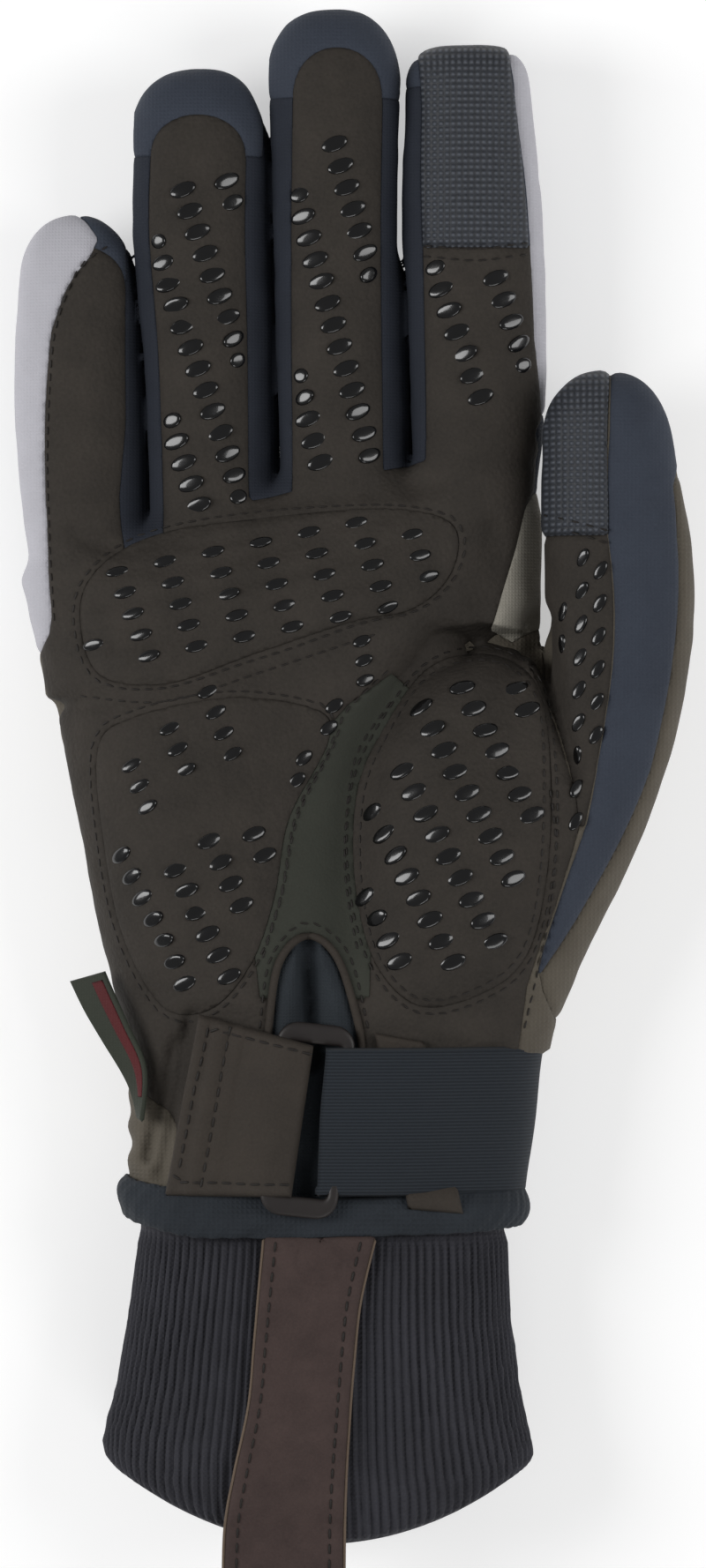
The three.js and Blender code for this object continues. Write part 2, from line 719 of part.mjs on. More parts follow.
// The strip between two neighbouring fingers, from below their crotch up to where the fingertip
// wraps over
function sideStripOutline(leftName, rightName) {
  const [leftTop, rightTop] = STRIP_TOPS[`${leftName}_${rightName}`];
  const leftLimb = LIMBS[leftName];
  const rightLimb = LIMBS[rightName];
  const leftRows = FINGER_FRONTS[leftName].rows;
  const rightRows = FINGER_FRONTS[rightName].rows;
  const onLeft = (along) => {
    const at = limbAt(leftLimb, along);
    return new THREE.Vector2(at.x + (between(leftRows, along, "right") - STRIP_OVERLAP) * at.halfWidth, at.y);
  };
  const onRight = (along) => {
    const at = limbAt(rightLimb, along);
    return new THREE.Vector2(at.x + (between(rightRows, along, "left") + STRIP_OVERLAP) * at.halfWidth, at.y);
  };
  const points = [];
  for (let k = 0; k <= STRIP_STEPS; k++) {
    points.push(onLeft(STRIP_START + ((leftTop - STRIP_START) * k) / STRIP_STEPS));
  }
  const leftEnd = limbAt(leftLimb, leftTop);
  const rightEnd = limbAt(rightLimb, rightTop);
  const middleAt = (y) => {
    const along = (y - limbAt(rightLimb, 0).y) / rightLimb.length;
    const at = limbAt(rightLimb, along);
    return at.x - at.halfWidth - SEAM_GAP;
  };
  points.push(new THREE.Vector2(middleAt(leftEnd.y), leftEnd.y));
  points.push(new THREE.Vector2(middleAt(rightEnd.y), rightEnd.y));
  for (let k = STRIP_STEPS; k >= 0; k--) {
    points.push(onRight(STRIP_START + ((rightTop - STRIP_START) * k) / STRIP_STEPS));
  }
  return points;
}

// A band round the wrist: the palm's rings puffed out, between two places and two distances from it
function wristBand(from, to, inner, outer) {
  const alongs = [0, ...PALM_SECTIONS.slice(1, -1).map((row) => row.along)];
  const ringsAt = (grow, low, high) => {
    const apart = CUT_MARGIN / 2;
    const inside = alongs.map(palmY).filter((y) => y > low + apart && y < high - apart);
    return [low, ...inside, high].map((y) => {
      const along = Math.max(0, (y - WRIST_Y) / PALM_LENGTH);
      const ring = palmRing(along, -grow, y - palmY(along), true);
      return ring.map((p) => new THREE.Vector3(p.x, p.y, Math.max(p.z, 0)));
    });
  };
  const hollow = solid(loft(ringsAt(inner, from - CUT_MARGIN, to + CUT_MARGIN)));
  return solid(loft(ringsAt(outer, from, to))).subtract(hollow);
}

// Cuff

function cuffRing(row, inset, ribbed, shift) {
  const sides = ribbed ? 2 * RIB_COUNT : PALM_SIDES.outer;
  const left = row.left * CUFF_WIDTH;
  const right = row.right * CUFF_WIDTH;
  const top = row.top * CUFF_DEPTH;
  const under = CUFF_UNDER * CUFF_DEPTH;
  const x0 = (left + right) / 2;
  const z0 = (top + under) / 2;
  return Array.from({ length: sides }, (_, j) => {
    const turn = (2 * Math.PI * j) / sides;
    const rib = ribbed ? (RIB_HEIGHT / 2) * row.rib * (j % 2 ? -1 : 1) : 0;
    const wide = (right - left) / 2 - inset + rib;
    const deep = (top - under) / 2 - inset + rib;
    const x = x0 + wide * bent(Math.cos(turn), CUFF_SQUARENESS);
    const z = z0 + deep * bent(Math.sin(turn), CUFF_SQUARENESS);
    const sideways = (x - x0) / ((right - left) / 2);
    const y = WRIST_Y - SEAM_GAP - row.along * CUFF_LENGTH + row.bow * CUFF_LENGTH * sideways ** 2;
    const floor = WRIST_LIFT * Math.max(0, 1 - row.along / CUFF_LIFT_RUN);
    const least = floor + inset + (ribbed ? rib + RIB_HEIGHT / 2 : 0);
    return new THREE.Vector3(x, y + shift, Math.max(z, least));
  });
}

// The room that the cuff takes inside the hem
function cuffSpace() {
  const top = CUFF_SECTIONS.filter((row) => row.along <= 0.6);
  const rings = top.map((row) => cuffRing(row, -SEAM_GAP - RIB_HEIGHT / 2, false, 0));
  rings.push(cuffRing(CUFF_SECTIONS[CUFF_SECTIONS.length - 1], -SEAM_GAP, false, 2 * SEAM_GAP));
  return solid(loft(rings));
}

function knitCuff() {
  const outer = solid(loft(CUFF_SECTIONS.map((row) => cuffRing(row, 0, true, 0))));
  const lastRow = CUFF_SECTIONS.length - 1;
  const hollowRings = CUFF_SECTIONS.map((row) => cuffRing(row, CUFF_WALL, false, 0));
  hollowRings.unshift(cuffRing(CUFF_SECTIONS[0], CUFF_WALL, false, -3 * CUFF_WALL));
  hollowRings.push(cuffRing(CUFF_SECTIONS[lastRow], CUFF_WALL, false, 2 * CUFF_WALL));
  return outer.subtract(solid(loft(hollowRings)));
}

// The height of the cuff's face, for what lies on it
function cuffTop(x, y) {
  const along = THREE.MathUtils.clamp((WRIST_Y - y) / CUFF_LENGTH, 0, 0.975);
  const rows = [...CUFF_SECTIONS].reverse();
  const left = between(rows, along, "left") * CUFF_WIDTH;
  const right = between(rows, along, "right") * CUFF_WIDTH;
  const top = between(rows, along, "top") * CUFF_DEPTH;
  const under = CUFF_UNDER * CUFF_DEPTH;
  const sideways = Math.abs((x - (left + right) / 2) / ((right - left) / 2));
  const share = (1 - Math.min(1, sideways) ** CUFF_SQUARENESS) ** (1 / CUFF_SQUARENESS);
  return (top + under) / 2 + ((top - under) / 2) * share + RIB_HEIGHT / 2;
}

// Pieces

const material = (color, roughness) =>
  new THREE.MeshStandardMaterial({ color, roughness, metalness: 0 });
const FINISHES = {
  leather: () => material(0x38342f, 0.8),
  navy: () => material(0x383d48, 0.85),
  brownGrey: () => material(0x4d4942, 0.85),
  lightGrey: () => material(0xafaeb4, 0.8),
  touch: () => material(0x404246, 0.6),
  elastic: () => material(0x2a2d32, 0.9),
  knit: () => material(0x2c2c30, 0.95),
  hem: () => material(0x242428, 0.85),
  pullStrap: () => material(0x403635, 0.75),
  plastic: () => material(0x282424, 0.45),
  label: () => material(0x2f312c, 0.8),
};

const glove = new THREE.Group();

function addPiece(name, made, finish) {
  const mesh = new THREE.Mesh(geometryOf(made), FINISHES[finish]());
  mesh.name = name;
  glove.add(mesh);
}

// The skin of the hand, cut into its panels along the seams. Each panel takes its region of the
// skin, less the seam gap round the panels cut before it.
const outerHand = handForm(0, 0);
const skin = outerHand.subtract(handForm(SHELL_WALL, 4 * SHELL_WALL));
let taken = null;

function addPanel(name, outlines, low, finish, trim) {
  const region = (grow) =>
    outlines
      .map((outline) => prism(grow ? grown(outline, grow) : outline, low - grow, SKY))
      .reduce((sum, next) => sum.add(next));
  let made = skin.intersect(region(0));
  if (taken) {
    made = made.subtract(taken);
  }
  if (trim) {
    made = trim(made);
  }
  addPiece(name, made, finish);
  taken = taken ? taken.add(region(SEAM_GAP)) : region(SEAM_GAP);
}

function foldedGusset(made) {
  const x = palmX(GUSSET_FOLD.across);
  const mouth = GUSSET_FOLD.mouth * PALM_WIDTH;
  const wedge = prism(
    [
      new THREE.Vector2(x, palmY(GUSSET_FOLD.along)),
      new THREE.Vector2(x - mouth / 2, WRIST_Y - CUT_MARGIN),
      new THREE.Vector2(x + mouth, WRIST_Y - CUT_MARGIN),
    ],
    PALM_SEAM_HEIGHT,
    SKY,
  );
  return made.subtract(wedge.subtract(handForm(GUSSET_FOLD_DEPTH, 0)));
}

const limbPanel = (name, rows, arch) => limbOutline(LIMBS[name], rows, arch);
addPanel("index_touch_patch", [limbPanel("index", INDEX_TOUCH)], PALM_SEAM_HEIGHT, "touch");
addPanel("index_grey_panel", [limbPanel("index", INDEX_GREY)], BACK_SEAM_HEIGHT, "lightGrey");
addPanel("little_grey_panel", [limbPanel("little", LITTLE_GREY)], BACK_SEAM_HEIGHT, "lightGrey");
addPanel("thumb_touch_patch", [limbPanel("thumb", THUMB_TOUCH)], THUMB_SEAM_HEIGHT, "touch");
addPanel("thumb_front", [limbPanel("thumb", THUMB_FRONT)], THUMB_SEAM_HEIGHT, "leather");
addPanel("thumb_side_panel", [limbPanel("thumb", THUMB_SIDE)], THUMB_SIDE_HEIGHT, "navy");
addPanel("thumb_back_panel", [limbPanel("thumb", THUMB_WHOLE)], -SEAM_GAP, "brownGrey");
addPanel("wrist_gusset", [palmOutline(WRIST_ARCH, false)], PALM_SEAM_HEIGHT, "navy", foldedGusset);
addPanel(
  "palm_leather",
  [
    palmFrontOutline(),
    ...Object.entries(FINGER_FRONTS).map(([name, front]) => limbPanel(name, front.rows, front.arch)),
  ],
  PALM_SEAM_HEIGHT,
  "leather",
);
addPanel(
  "fourchette_little_ring",
  [sideStripOutline("little", "ring")],
  BACK_SEAM_HEIGHT,
  "navy",
);
addPanel(
  "fourchette_ring_middle",
  [sideStripOutline("ring", "middle")],
  BACK_SEAM_HEIGHT,
  "navy",
);
addPanel(
  "fourchette_middle_index",
  [sideStripOutline("middle", "index")],
  BACK_SEAM_HEIGHT,
  "navy",
);

// The back: one panel over the fingers and their tips, and one over the back of the hand
const far = 2 * PALM_LENGTH;
const knuckleAt = (x) => palmY(KNUCKLE_LINE) + KNUCKLE_SLOPE * x;
const fingerSide = [
  new THREE.Vector2(-far, knuckleAt(-far)),
  new THREE.Vector2(far, knuckleAt(far)),
  new THREE.Vector2(far, 2 * far),
  new THREE.Vector2(-far, 2 * far),
];
addPanel("finger_backs", [fingerSide], -SEAM_GAP, "navy");
const handSide = [
  new THREE.Vector2(-far, -far),
  new THREE.Vector2(far, -far),
  new THREE.Vector2(far, knuckleAt(far)),
  new THREE.Vector2(-far, knuckleAt(-far)),
];
addPanel("back_of_hand", [handSide], -SEAM_GAP, "brownGrey");

// Padding on the palm, laid over the leather with the seam gap
const nearHand = handForm(-SEAM_GAP, 0);
const padSkin = handForm(-SEAM_GAP - PAD_THICKNESS, 0).subtract(nearHand);
const pads = { knuckle_pad: KNUCKLE_PAD, heel_pad: HEEL_PAD, thumb_ball_pad: THUMB_BALL_PAD };
for (const [name, outline] of Object.entries(pads)) {
  const area = prism(palmOutline(outline, true), PALM_SEAM_HEIGHT, SKY);
  addPiece(name, padSkin.intersect(area), "leather");
}

// Cuff and hem
const cuff = knitCuff();
addPiece("knit_cuff", cuff, "knit");

function hemBinding() {
  const profile = [
    { along: 0, swell: 0.35 },
    { along: 0.25, swell: 0.95 },
    { along: 0.75, swell: 0.9 },
    { along: 1, swell: 0.35 },
  ];
  const rings = profile
    .map(({ along, swell }) => {
      const y = HEM_TOP - along * HEM_LENGTH;
      return palmRing(0, -SEAM_GAP - swell * HEM_THICKNESS, y - WRIST_Y, true).map(
        (p) => new THREE.Vector3(p.x, p.y, Math.max(p.z, 0)),
      );
    })
    .reverse();
  return solid(loft(rings)).subtract(nearHand).subtract(cuffSpace());
}
addPiece("hem_binding", hemBinding(), "hem");

// Wrist strap: the leather tab and the elastic are both folded round the bars of the loop
const STRAP_LOW = HEM_TOP + SEAM_GAP;
const STRAP_HIGH = STRAP_LOW + STRAP_WIDTH;
const LOOP_CENTRE = new THREE.Vector2(palmX(LOOP_ACROSS), (STRAP_LOW + STRAP_HIGH) / 2);

// A rectangle with rounded corners, about the origin
function roundedOutline(width, height, radius) {
  const corners = [
    [1, 1],
    [-1, 1],
    [-1, -1],
    [1, -1],
  ];
  return corners.flatMap(([sx, sy], k) =>
    Array.from({ length: CORNER_STEPS + 1 }, (_, step) => {
      const turn = ((k + step / CORNER_STEPS) * Math.PI) / 2;
      return new THREE.Vector2(
        sx * (width / 2 - radius) + radius * Math.cos(turn),
        sy * (height / 2 - radius) + radius * Math.sin(turn),
      );
    }),
  );
}

function strapLoop(grow) {
  const shape = new THREE.Shape(
    roundedOutline(LOOP_WIDTH + 2 * grow, LOOP_LENGTH + 2 * grow, LOOP_CORNER + grow),
  );
  const hole = roundedOutline(
    LOOP_WIDTH - 2 * (LOOP_BAR + grow),
    LOOP_LENGTH - 2 * (LOOP_END_BAR + grow),
    LOOP_INNER_CORNER,
  );
  shape.holes.push(new THREE.Path(hole));
  const depth = LOOP_THICKNESS + 2 * grow;
  const geometry = new THREE.ExtrudeGeometry(shape, { depth, bevelEnabled: false });
  geometry.translate(0, 0, -depth / 2);
  geometry.rotateZ(THREE.MathUtils.degToRad(-LOOP_TILT));
  geometry.translate(LOOP_CENTRE.x, LOOP_CENTRE.y, WRIST_TOP + SEAM_GAP + TAB_THICKNESS / 2);
  return solid(geometry);
}

function slantedEdge(x, lean) {
  return [
    new THREE.Vector2(x - lean / 2, STRAP_LOW - CUT_MARGIN),
    new THREE.Vector2(x + lean / 2, STRAP_HIGH + CUT_MARGIN),
  ];
}

const strapLean = STRAP_WIDTH * Math.tan(THREE.MathUtils.degToRad(LOOP_TILT));
const loopSpace = strapLoop(SEAM_GAP);
const tabEdge = slantedEdge(LOOP_CENTRE.x - STRAP_END_GAP, strapLean);
const elasticEdge = slantedEdge(LOOP_CENTRE.x + STRAP_END_GAP, strapLean);
const tabRoot = slantedEdge(LOOP_CENTRE.x - TAB_LENGTH, 2 * strapLean);

function strapTab() {
  const top = STRAP_HIGH + TAB_RISE;
  const band = wristBand(STRAP_LOW, top, SEAM_GAP, SEAM_GAP + TAB_THICKNESS);
  const rootTop = tabRoot[1].clone().setY(top + 2 * CUT_MARGIN);
  const outline = [tabRoot[0], tabEdge[0], tabEdge[1], rootTop];
  return band.intersect(prism(outline, PALM_SEAM_HEIGHT, SKY)).subtract(loopSpace);
}

const keeperCentre = new THREE.Vector2(palmX(KEEPER_ACROSS), (STRAP_LOW + STRAP_HIGH) / 2);

function strapKeeper(grow) {
  const half = { x: KEEPER_WIDTH / 2 + grow, y: KEEPER_LENGTH / 2 + grow };
  const lean = THREE.MathUtils.degToRad(KEEPER_LEAN);
  const corners = [
    [-half.x, -half.y],
    [half.x, -half.y],
    [half.x, half.y],
    [-half.x, half.y],
  ].map(([x, y]) =>
    new THREE.Vector2(x, y).rotateAround(new THREE.Vector2(), lean).add(keeperCentre),
  );
  const band = wristBand(
    STRAP_LOW + SEAM_GAP - grow,
    keeperCentre.y + half.y + 2 * CUT_MARGIN,
    SEAM_GAP - grow,
    SEAM_GAP + KEEPER_THICKNESS + grow,
  );
  return band.intersect(prism(corners, PALM_SEAM_HEIGHT, SKY));
}

function strapElastic() {
  const single = wristBand(STRAP_LOW, STRAP_HIGH, SEAM_GAP, SEAM_GAP + ELASTIC_THICKNESS);
  const double = wristBand(STRAP_LOW, STRAP_HIGH, SEAM_GAP, SEAM_GAP + TAB_THICKNESS);
  const beyond = 2 * PALM_WIDTH;
  const low = STRAP_LOW - CUT_MARGIN;
  const high = STRAP_HIGH + CUT_MARGIN;
  const farLow = new THREE.Vector2(beyond, low);
  const farHigh = new THREE.Vector2(beyond, high);
  const overTop = prism([elasticEdge[0], farLow, farHigh, elasticEdge[1]], PALM_SEAM_HEIGHT, SKY);
  const foldEnd = slantedEdge(LOOP_CENTRE.x + ELASTIC_FOLD_LENGTH, strapLean);
  const overFold = prism(
    [elasticEdge[0], foldEnd[0], foldEnd[1], elasticEdge[1]],
    PALM_SEAM_HEIGHT,
    SKY,
  );
  const nearLow = new THREE.Vector2(-ELASTIC_REACH, low);
  const nearHigh = new THREE.Vector2(-ELASTIC_REACH, high);
  const underBack = prism([nearLow, farLow, farHigh, nearHigh], -CUT_MARGIN, PALM_SEAM_HEIGHT);
  return single
    .intersect(overTop.add(underBack))
    .add(double.intersect(overFold))
    .subtract(loopSpace)
    .subtract(strapKeeper(SEAM_GAP));
}

addPiece("strap_loop", strapLoop(0), "plastic");
addPiece("strap_tab", strapTab(), "leather");
addPiece("strap_keeper", strapKeeper(0), "leather");
addPiece("strap_elastic", strapElastic(), "elastic");

// Pull strap: a strip laid down the cuff from the hem, past the cuff's edge
function pullStrap() {
  const start = HEM_TOP - HEM_LENGTH - SEAM_GAP;
  const rings = [];
  for (let k = PULL_STRAP_STEPS; k >= 0; k--) {
    const share = k / PULL_STRAP_STEPS;
    const y = start - share * PULL_STRAP_LENGTH;
    const middle = palmX(PULL_STRAP_ACROSS) + PULL_STRAP_LEAN * share ** PULL_STRAP_LEAN_POWER;
    const flare = 1 + PULL_STRAP_FLARE * Math.sin(2 * Math.PI * share);
    const half = (PULL_STRAP_WIDTH / 2) * flare;
    const droop = PULL_STRAP_DROOP * Math.max(0, WRIST_Y - CUFF_LENGTH - y) ** 2;
    const upper = [];
    const lower = [];
    for (let j = 0; j <= PULL_STRAP_FACETS; j++) {
      const x = middle + half * (1 - (2 * j) / PULL_STRAP_FACETS);
      const face = Math.max(cuffTop(x, y), cuffTop(middle, y) - PULL_STRAP_BEND);
      const rest = face + 2 * SEAM_GAP - droop;
      upper.push(new THREE.Vector3(x, y, rest + PULL_STRAP_THICKNESS));
      lower.unshift(new THREE.Vector3(x, y, rest));
    }
    rings.push([...upper, ...lower]);
  }
  return solid(loft(rings));
}
addPiece("pull_strap", pullStrap(), "pullStrap");

// Label: a folded strip of cloth that stands out of the side seam
function sideLabel() {
  const corner = new THREE.Vector2(palmX(LABEL_ACROSS), palmY(LABEL_ALONG));
  const outline = LABEL_OUTLINE.map((row) =>
    new THREE.Vector2(row.across * LABEL_WIDTH, row.along * LABEL_LENGTH).add(corner),
  );
  const plate = prism(outline, 0, LABEL_THICKNESS);
  const mesh = geometryOf(plate);
  mesh.translate(-corner.x, -corner.y, 0);
  mesh.rotateY(THREE.MathUtils.degToRad(-LABEL_TILT));
  mesh.translate(corner.x, corner.y, LABEL_HEIGHT * PALM_DEPTH);
  return solid(mesh).subtract(nearHand);
}
addPiece("side_label", sideLabel(), "label");

export default glove;
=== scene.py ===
"""Right-hand winter cycling glove, palm up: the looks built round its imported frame.

The hand is one smooth form, worked out in millimetres from a few sections of each finger and of
the palm. It is turned into a fine skin, cut into its sewn panels along the seams, and dressed with
pads, grip drops and stitches. The strap, hem, cuff, pull strap and label are modelled beside it.
"""
from __future__ import annotations

import logging
import math
from dataclasses import dataclass, field
from enum import Enum
from functools import cached_property
from typing import Callable, Sequence

import bpy
import numpy as np
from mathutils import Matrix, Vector
from mathutils.kdtree import KDTree

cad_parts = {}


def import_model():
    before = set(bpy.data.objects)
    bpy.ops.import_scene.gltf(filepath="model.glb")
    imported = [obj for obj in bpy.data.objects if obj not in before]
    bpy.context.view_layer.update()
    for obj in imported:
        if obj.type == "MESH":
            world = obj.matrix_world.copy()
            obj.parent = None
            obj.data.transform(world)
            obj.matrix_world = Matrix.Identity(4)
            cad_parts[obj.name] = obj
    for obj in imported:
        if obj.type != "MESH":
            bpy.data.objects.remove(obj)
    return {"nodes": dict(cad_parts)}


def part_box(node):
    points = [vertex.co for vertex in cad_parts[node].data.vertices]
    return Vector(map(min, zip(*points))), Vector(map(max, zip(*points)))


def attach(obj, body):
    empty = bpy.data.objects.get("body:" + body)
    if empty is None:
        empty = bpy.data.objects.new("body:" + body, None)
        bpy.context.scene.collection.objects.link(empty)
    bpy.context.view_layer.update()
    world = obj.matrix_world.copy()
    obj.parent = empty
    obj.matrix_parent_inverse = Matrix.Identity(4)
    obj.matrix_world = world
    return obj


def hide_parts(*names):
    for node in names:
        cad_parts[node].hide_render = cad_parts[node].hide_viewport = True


LOG = logging.getLogger("glove")
MM = 0.001
BODY = "root"

# The photograph's frame and how large the glove stands in it
PHOTO_WIDTH = 800
PHOTO_HEIGHT = 1778
MM_PER_PIXEL = 0.165
ORIGIN_PIXEL = (370.0, 900.0)

# The hand's driving sizes, in millimetres
PALM_WIDTH = 93.4
PALM_LENGTH = 134.0
PALM_DEPTH = 38.0
SKIN_STEP = 0.9
SKIN_WALL = 1.5
FINGER_GAP = 1.1
PALM_SEAM_HEIGHT = 17.0
BACK_SEAM_HEIGHT = 10.0
THUMB_SEAM_HEIGHT = 20.0
THUMB_SIDE_HEIGHT = 24.0

Array = np.ndarray


# Small tools


def smooth_step(value: Array, low: float, high: float) -> Array:
    """Return 0 below low, 1 above high and a smooth rise between them."""
    share = np.clip((value - low) / (high - low), 0.0, 1.0)
    return share * share * (3.0 - 2.0 * share)


def smooth_min(first: Array, second: Array, reach: float) -> Array:
    """Return the smaller of two distances, blended where they are within reach of each other."""
    share = np.clip(0.5 + 0.5 * (second - first) / reach, 0.0, 1.0)
    return second * (1.0 - share) + first * share - reach * share * (1.0 - share)


def from_photo(x: float, y: float) -> tuple[float, float]:
    """Turn a pixel of the photograph's frame into millimetres on the glove, seen from above."""
    return (x - ORIGIN_PIXEL[0]) * MM_PER_PIXEL, (ORIGIN_PIXEL[1] - y) * MM_PER_PIXEL


def route(*pixels: tuple[float, float]) -> Array:
    """Turn a few pixels of the photograph's frame into a line in millimetres."""
    return np.array([from_photo(*pixel) for pixel in pixels])


def curve_through(points: Array, closed: bool, spacing: float) -> Array:
    """Return evenly spaced points on a smooth curve through a few points.

    Args:
        points: The points that the curve passes through, one row each.
        closed: Whether the curve runs back to its start.
        spacing: The distance between the points returned.

    Returns:
        The points on the curve, in order.
    """
    count = len(points)
    spans = count if closed else count - 1
    steps = np.linspace(0.0, 1.0, 13)[:-1, None]
    pieces = []
    for i in range(spans):
        if closed:
            a, b, c, d = (points[(i + k - 1) % count] for k in range(4))
        else:
            a, b, c, d = (points[min(max(i + k - 1, 0), count - 1)] for k in range(4))
        pieces.append(
            0.5
            * (
                2 * b
                + (c - a) * steps
                + (2 * a - 5 * b + 4 * c - d) * steps**2
                + (3 * b - a - 3 * c + d) * steps**3
            )
        )
    dense = np.vstack(pieces + [points[:1] if closed else points[-1:]])
    lengths = np.concatenate([[0.0], np.cumsum(np.linalg.norm(np.diff(dense, axis=0), axis=1))])
    wanted = max(2, int(round(lengths[-1] / spacing)))
    places = np.linspace(0.0, lengths[-1], wanted + 1)
    if closed:
        places = places[:-1]
    return np.column_stack([np.interp(places, lengths, dense[:, k]) for k in range(points.shape[1])])


def outline_distance(spots: Array, outline: Array) -> Array:
    """Return how far each spot lies outside a closed outline, negative inside it."""
    nearest = np.full(len(spots), 1e9)
    inside = np.zeros(len(spots), dtype=bool)
    for start, end in zip(outline, np.roll(outline, -1, axis=0)):
        edge = end - start
        offset = spots - start
        share = np.clip(offset @ edge / max(edge @ edge, 1e-12), 0.0, 1.0)
        nearest = np.minimum(nearest, np.hypot(*(offset - share[:, None] * edge).T))
        crosses = (start[1] > spots[:, 1]) != (end[1] > spots[:, 1])
        if edge[1]:
            reach = start[0] + (spots[:, 1] - start[1]) * edge[0] / edge[1]
            inside ^= crosses & (spots[:, 0] < reach)
    return np.where(inside, -nearest, nearest)


def line_distance(spots: Array, line: Array) -> Array:
    """Return each spot's distance from an open line."""
    nearest = np.full(len(spots), 1e9)
    for start, end in zip(line[:-1], line[1:]):
        edge = end - start
        offset = spots - start
        share = np.clip(offset @ edge / max(edge @ edge, 1e-12), 0.0, 1.0)
        nearest = np.minimum(nearest, np.hypot(*(offset - share[:, None] * edge).T))
    return nearest


@dataclass(frozen=True)
class Ripple:
    """Soft random unevenness, the same on every run."""

    seed: int
    size: float

    def __call__(self, points: Array) -> Array:
        """Return a value from -1 to 1 at each point of an (n, 3) array."""
        lattice = np.random.default_rng(self.seed).uniform(-1.0, 1.0, (24, 24, 24))
        place = points / self.size
        cell = np.floor(place).astype(int)
        part = place - cell
        part = part * part * (3.0 - 2.0 * part)
        total = np.zeros(len(points))
        for corner in range(8):
            bits = np.array([corner & 1, corner >> 1 & 1, corner >> 2 & 1])
            index = (cell + bits) % 24
            weight = np.prod(np.where(bits, part, 1.0 - part), axis=1)
            total += weight * lattice[index[:, 0], index[:, 1], index[:, 2]]
        return total


@dataclass
class HeightMap:
    """A height over the glove's plan, sampled once on a fine grid."""

    height: Callable[[Array, Array], Array]
    low: tuple[float, float] = (-64.0, -90.0)
    high: tuple[float, float] = (76.0, 152.0)
    step: float = 0.5

    def __post_init__(self) -> None:
        """Sample the height."""
        x = np.arange(self.low[0], self.high[0], self.step)
        y = np.arange(self.low[1], self.high[1], self.step)
        across, along = np.meshgrid(x, y, indexing="ij")
        self.values = self.height(across.ravel(), along.ravel()).reshape(across.shape)

    def __call__(self, x: Array, y: Array) -> Array:
        """Return the height at each place."""
        u = np.clip((x - self.low[0]) / self.step, 0.0, self.values.shape[0] - 1.001)
        v = np.clip((y - self.low[1]) / self.step, 0.0, self.values.shape[1] - 1.001)
        i, j = u.astype(int), v.astype(int)
        u, v = u - i, v - j
        table = self.values
        near = table[i, j] * (1 - u) + table[i + 1, j] * u
        far = table[i, j + 1] * (1 - u) + table[i + 1, j + 1] * u
        return near * (1 - v) + far * v


# Materials


def linear(colour: str) -> tuple[float, float, float, float]:
    """Turn an sRGB hex colour into the linear colour that a shader takes."""
    parts = [int(colour[k : k + 2], 16) / 255 for k in (1, 3, 5)]
    toned = [p / 12.92 if p <= 0.04045 else ((p + 0.055) / 1.055) ** 2.4 for p in parts]
    return toned[0], toned[1], toned[2], 1.0


def add_node(
    tree: bpy.types.NodeTree,
    kind: str,
    settings: dict[str, object] | None = None,
    links: dict[str, bpy.types.NodeSocket] | None = None,
) -> bpy.types.Node:
    """Add a shader node.

    Args:
        tree: The material's node tree.
        kind: The node's type name.
        settings: Values for its sockets, or for its properties where no socket has the name.
        links: The sockets that feed its sockets.

    Returns:
        The node.
    """
    node = tree.nodes.new(kind)
    for name, value in (settings or {}).items():
        key = int(name) if name.isdigit() else name
        if isinstance(key, int) or name in node.inputs:
            node.inputs[key].default_value = value
        else:
            setattr(node, name, value)
    for name, source in (links or {}).items():
        tree.links.new(source, node.inputs[int(name) if name.isdigit() else name])
    return node


def band_scale(spacing_mm: float) -> float:
    """Return the Wave texture's scale for stripes at a spacing in millimetres."""
    return 2.0 * math.pi / 20.0 / (spacing_mm * MM)


class Surface(Enum):
    """How a finish's surface was made."""

    GRAIN = "grain"
    WEAVE = "weave"
    CHECK = "check"
    RIB = "rib"
    SMOOTH = "smooth"


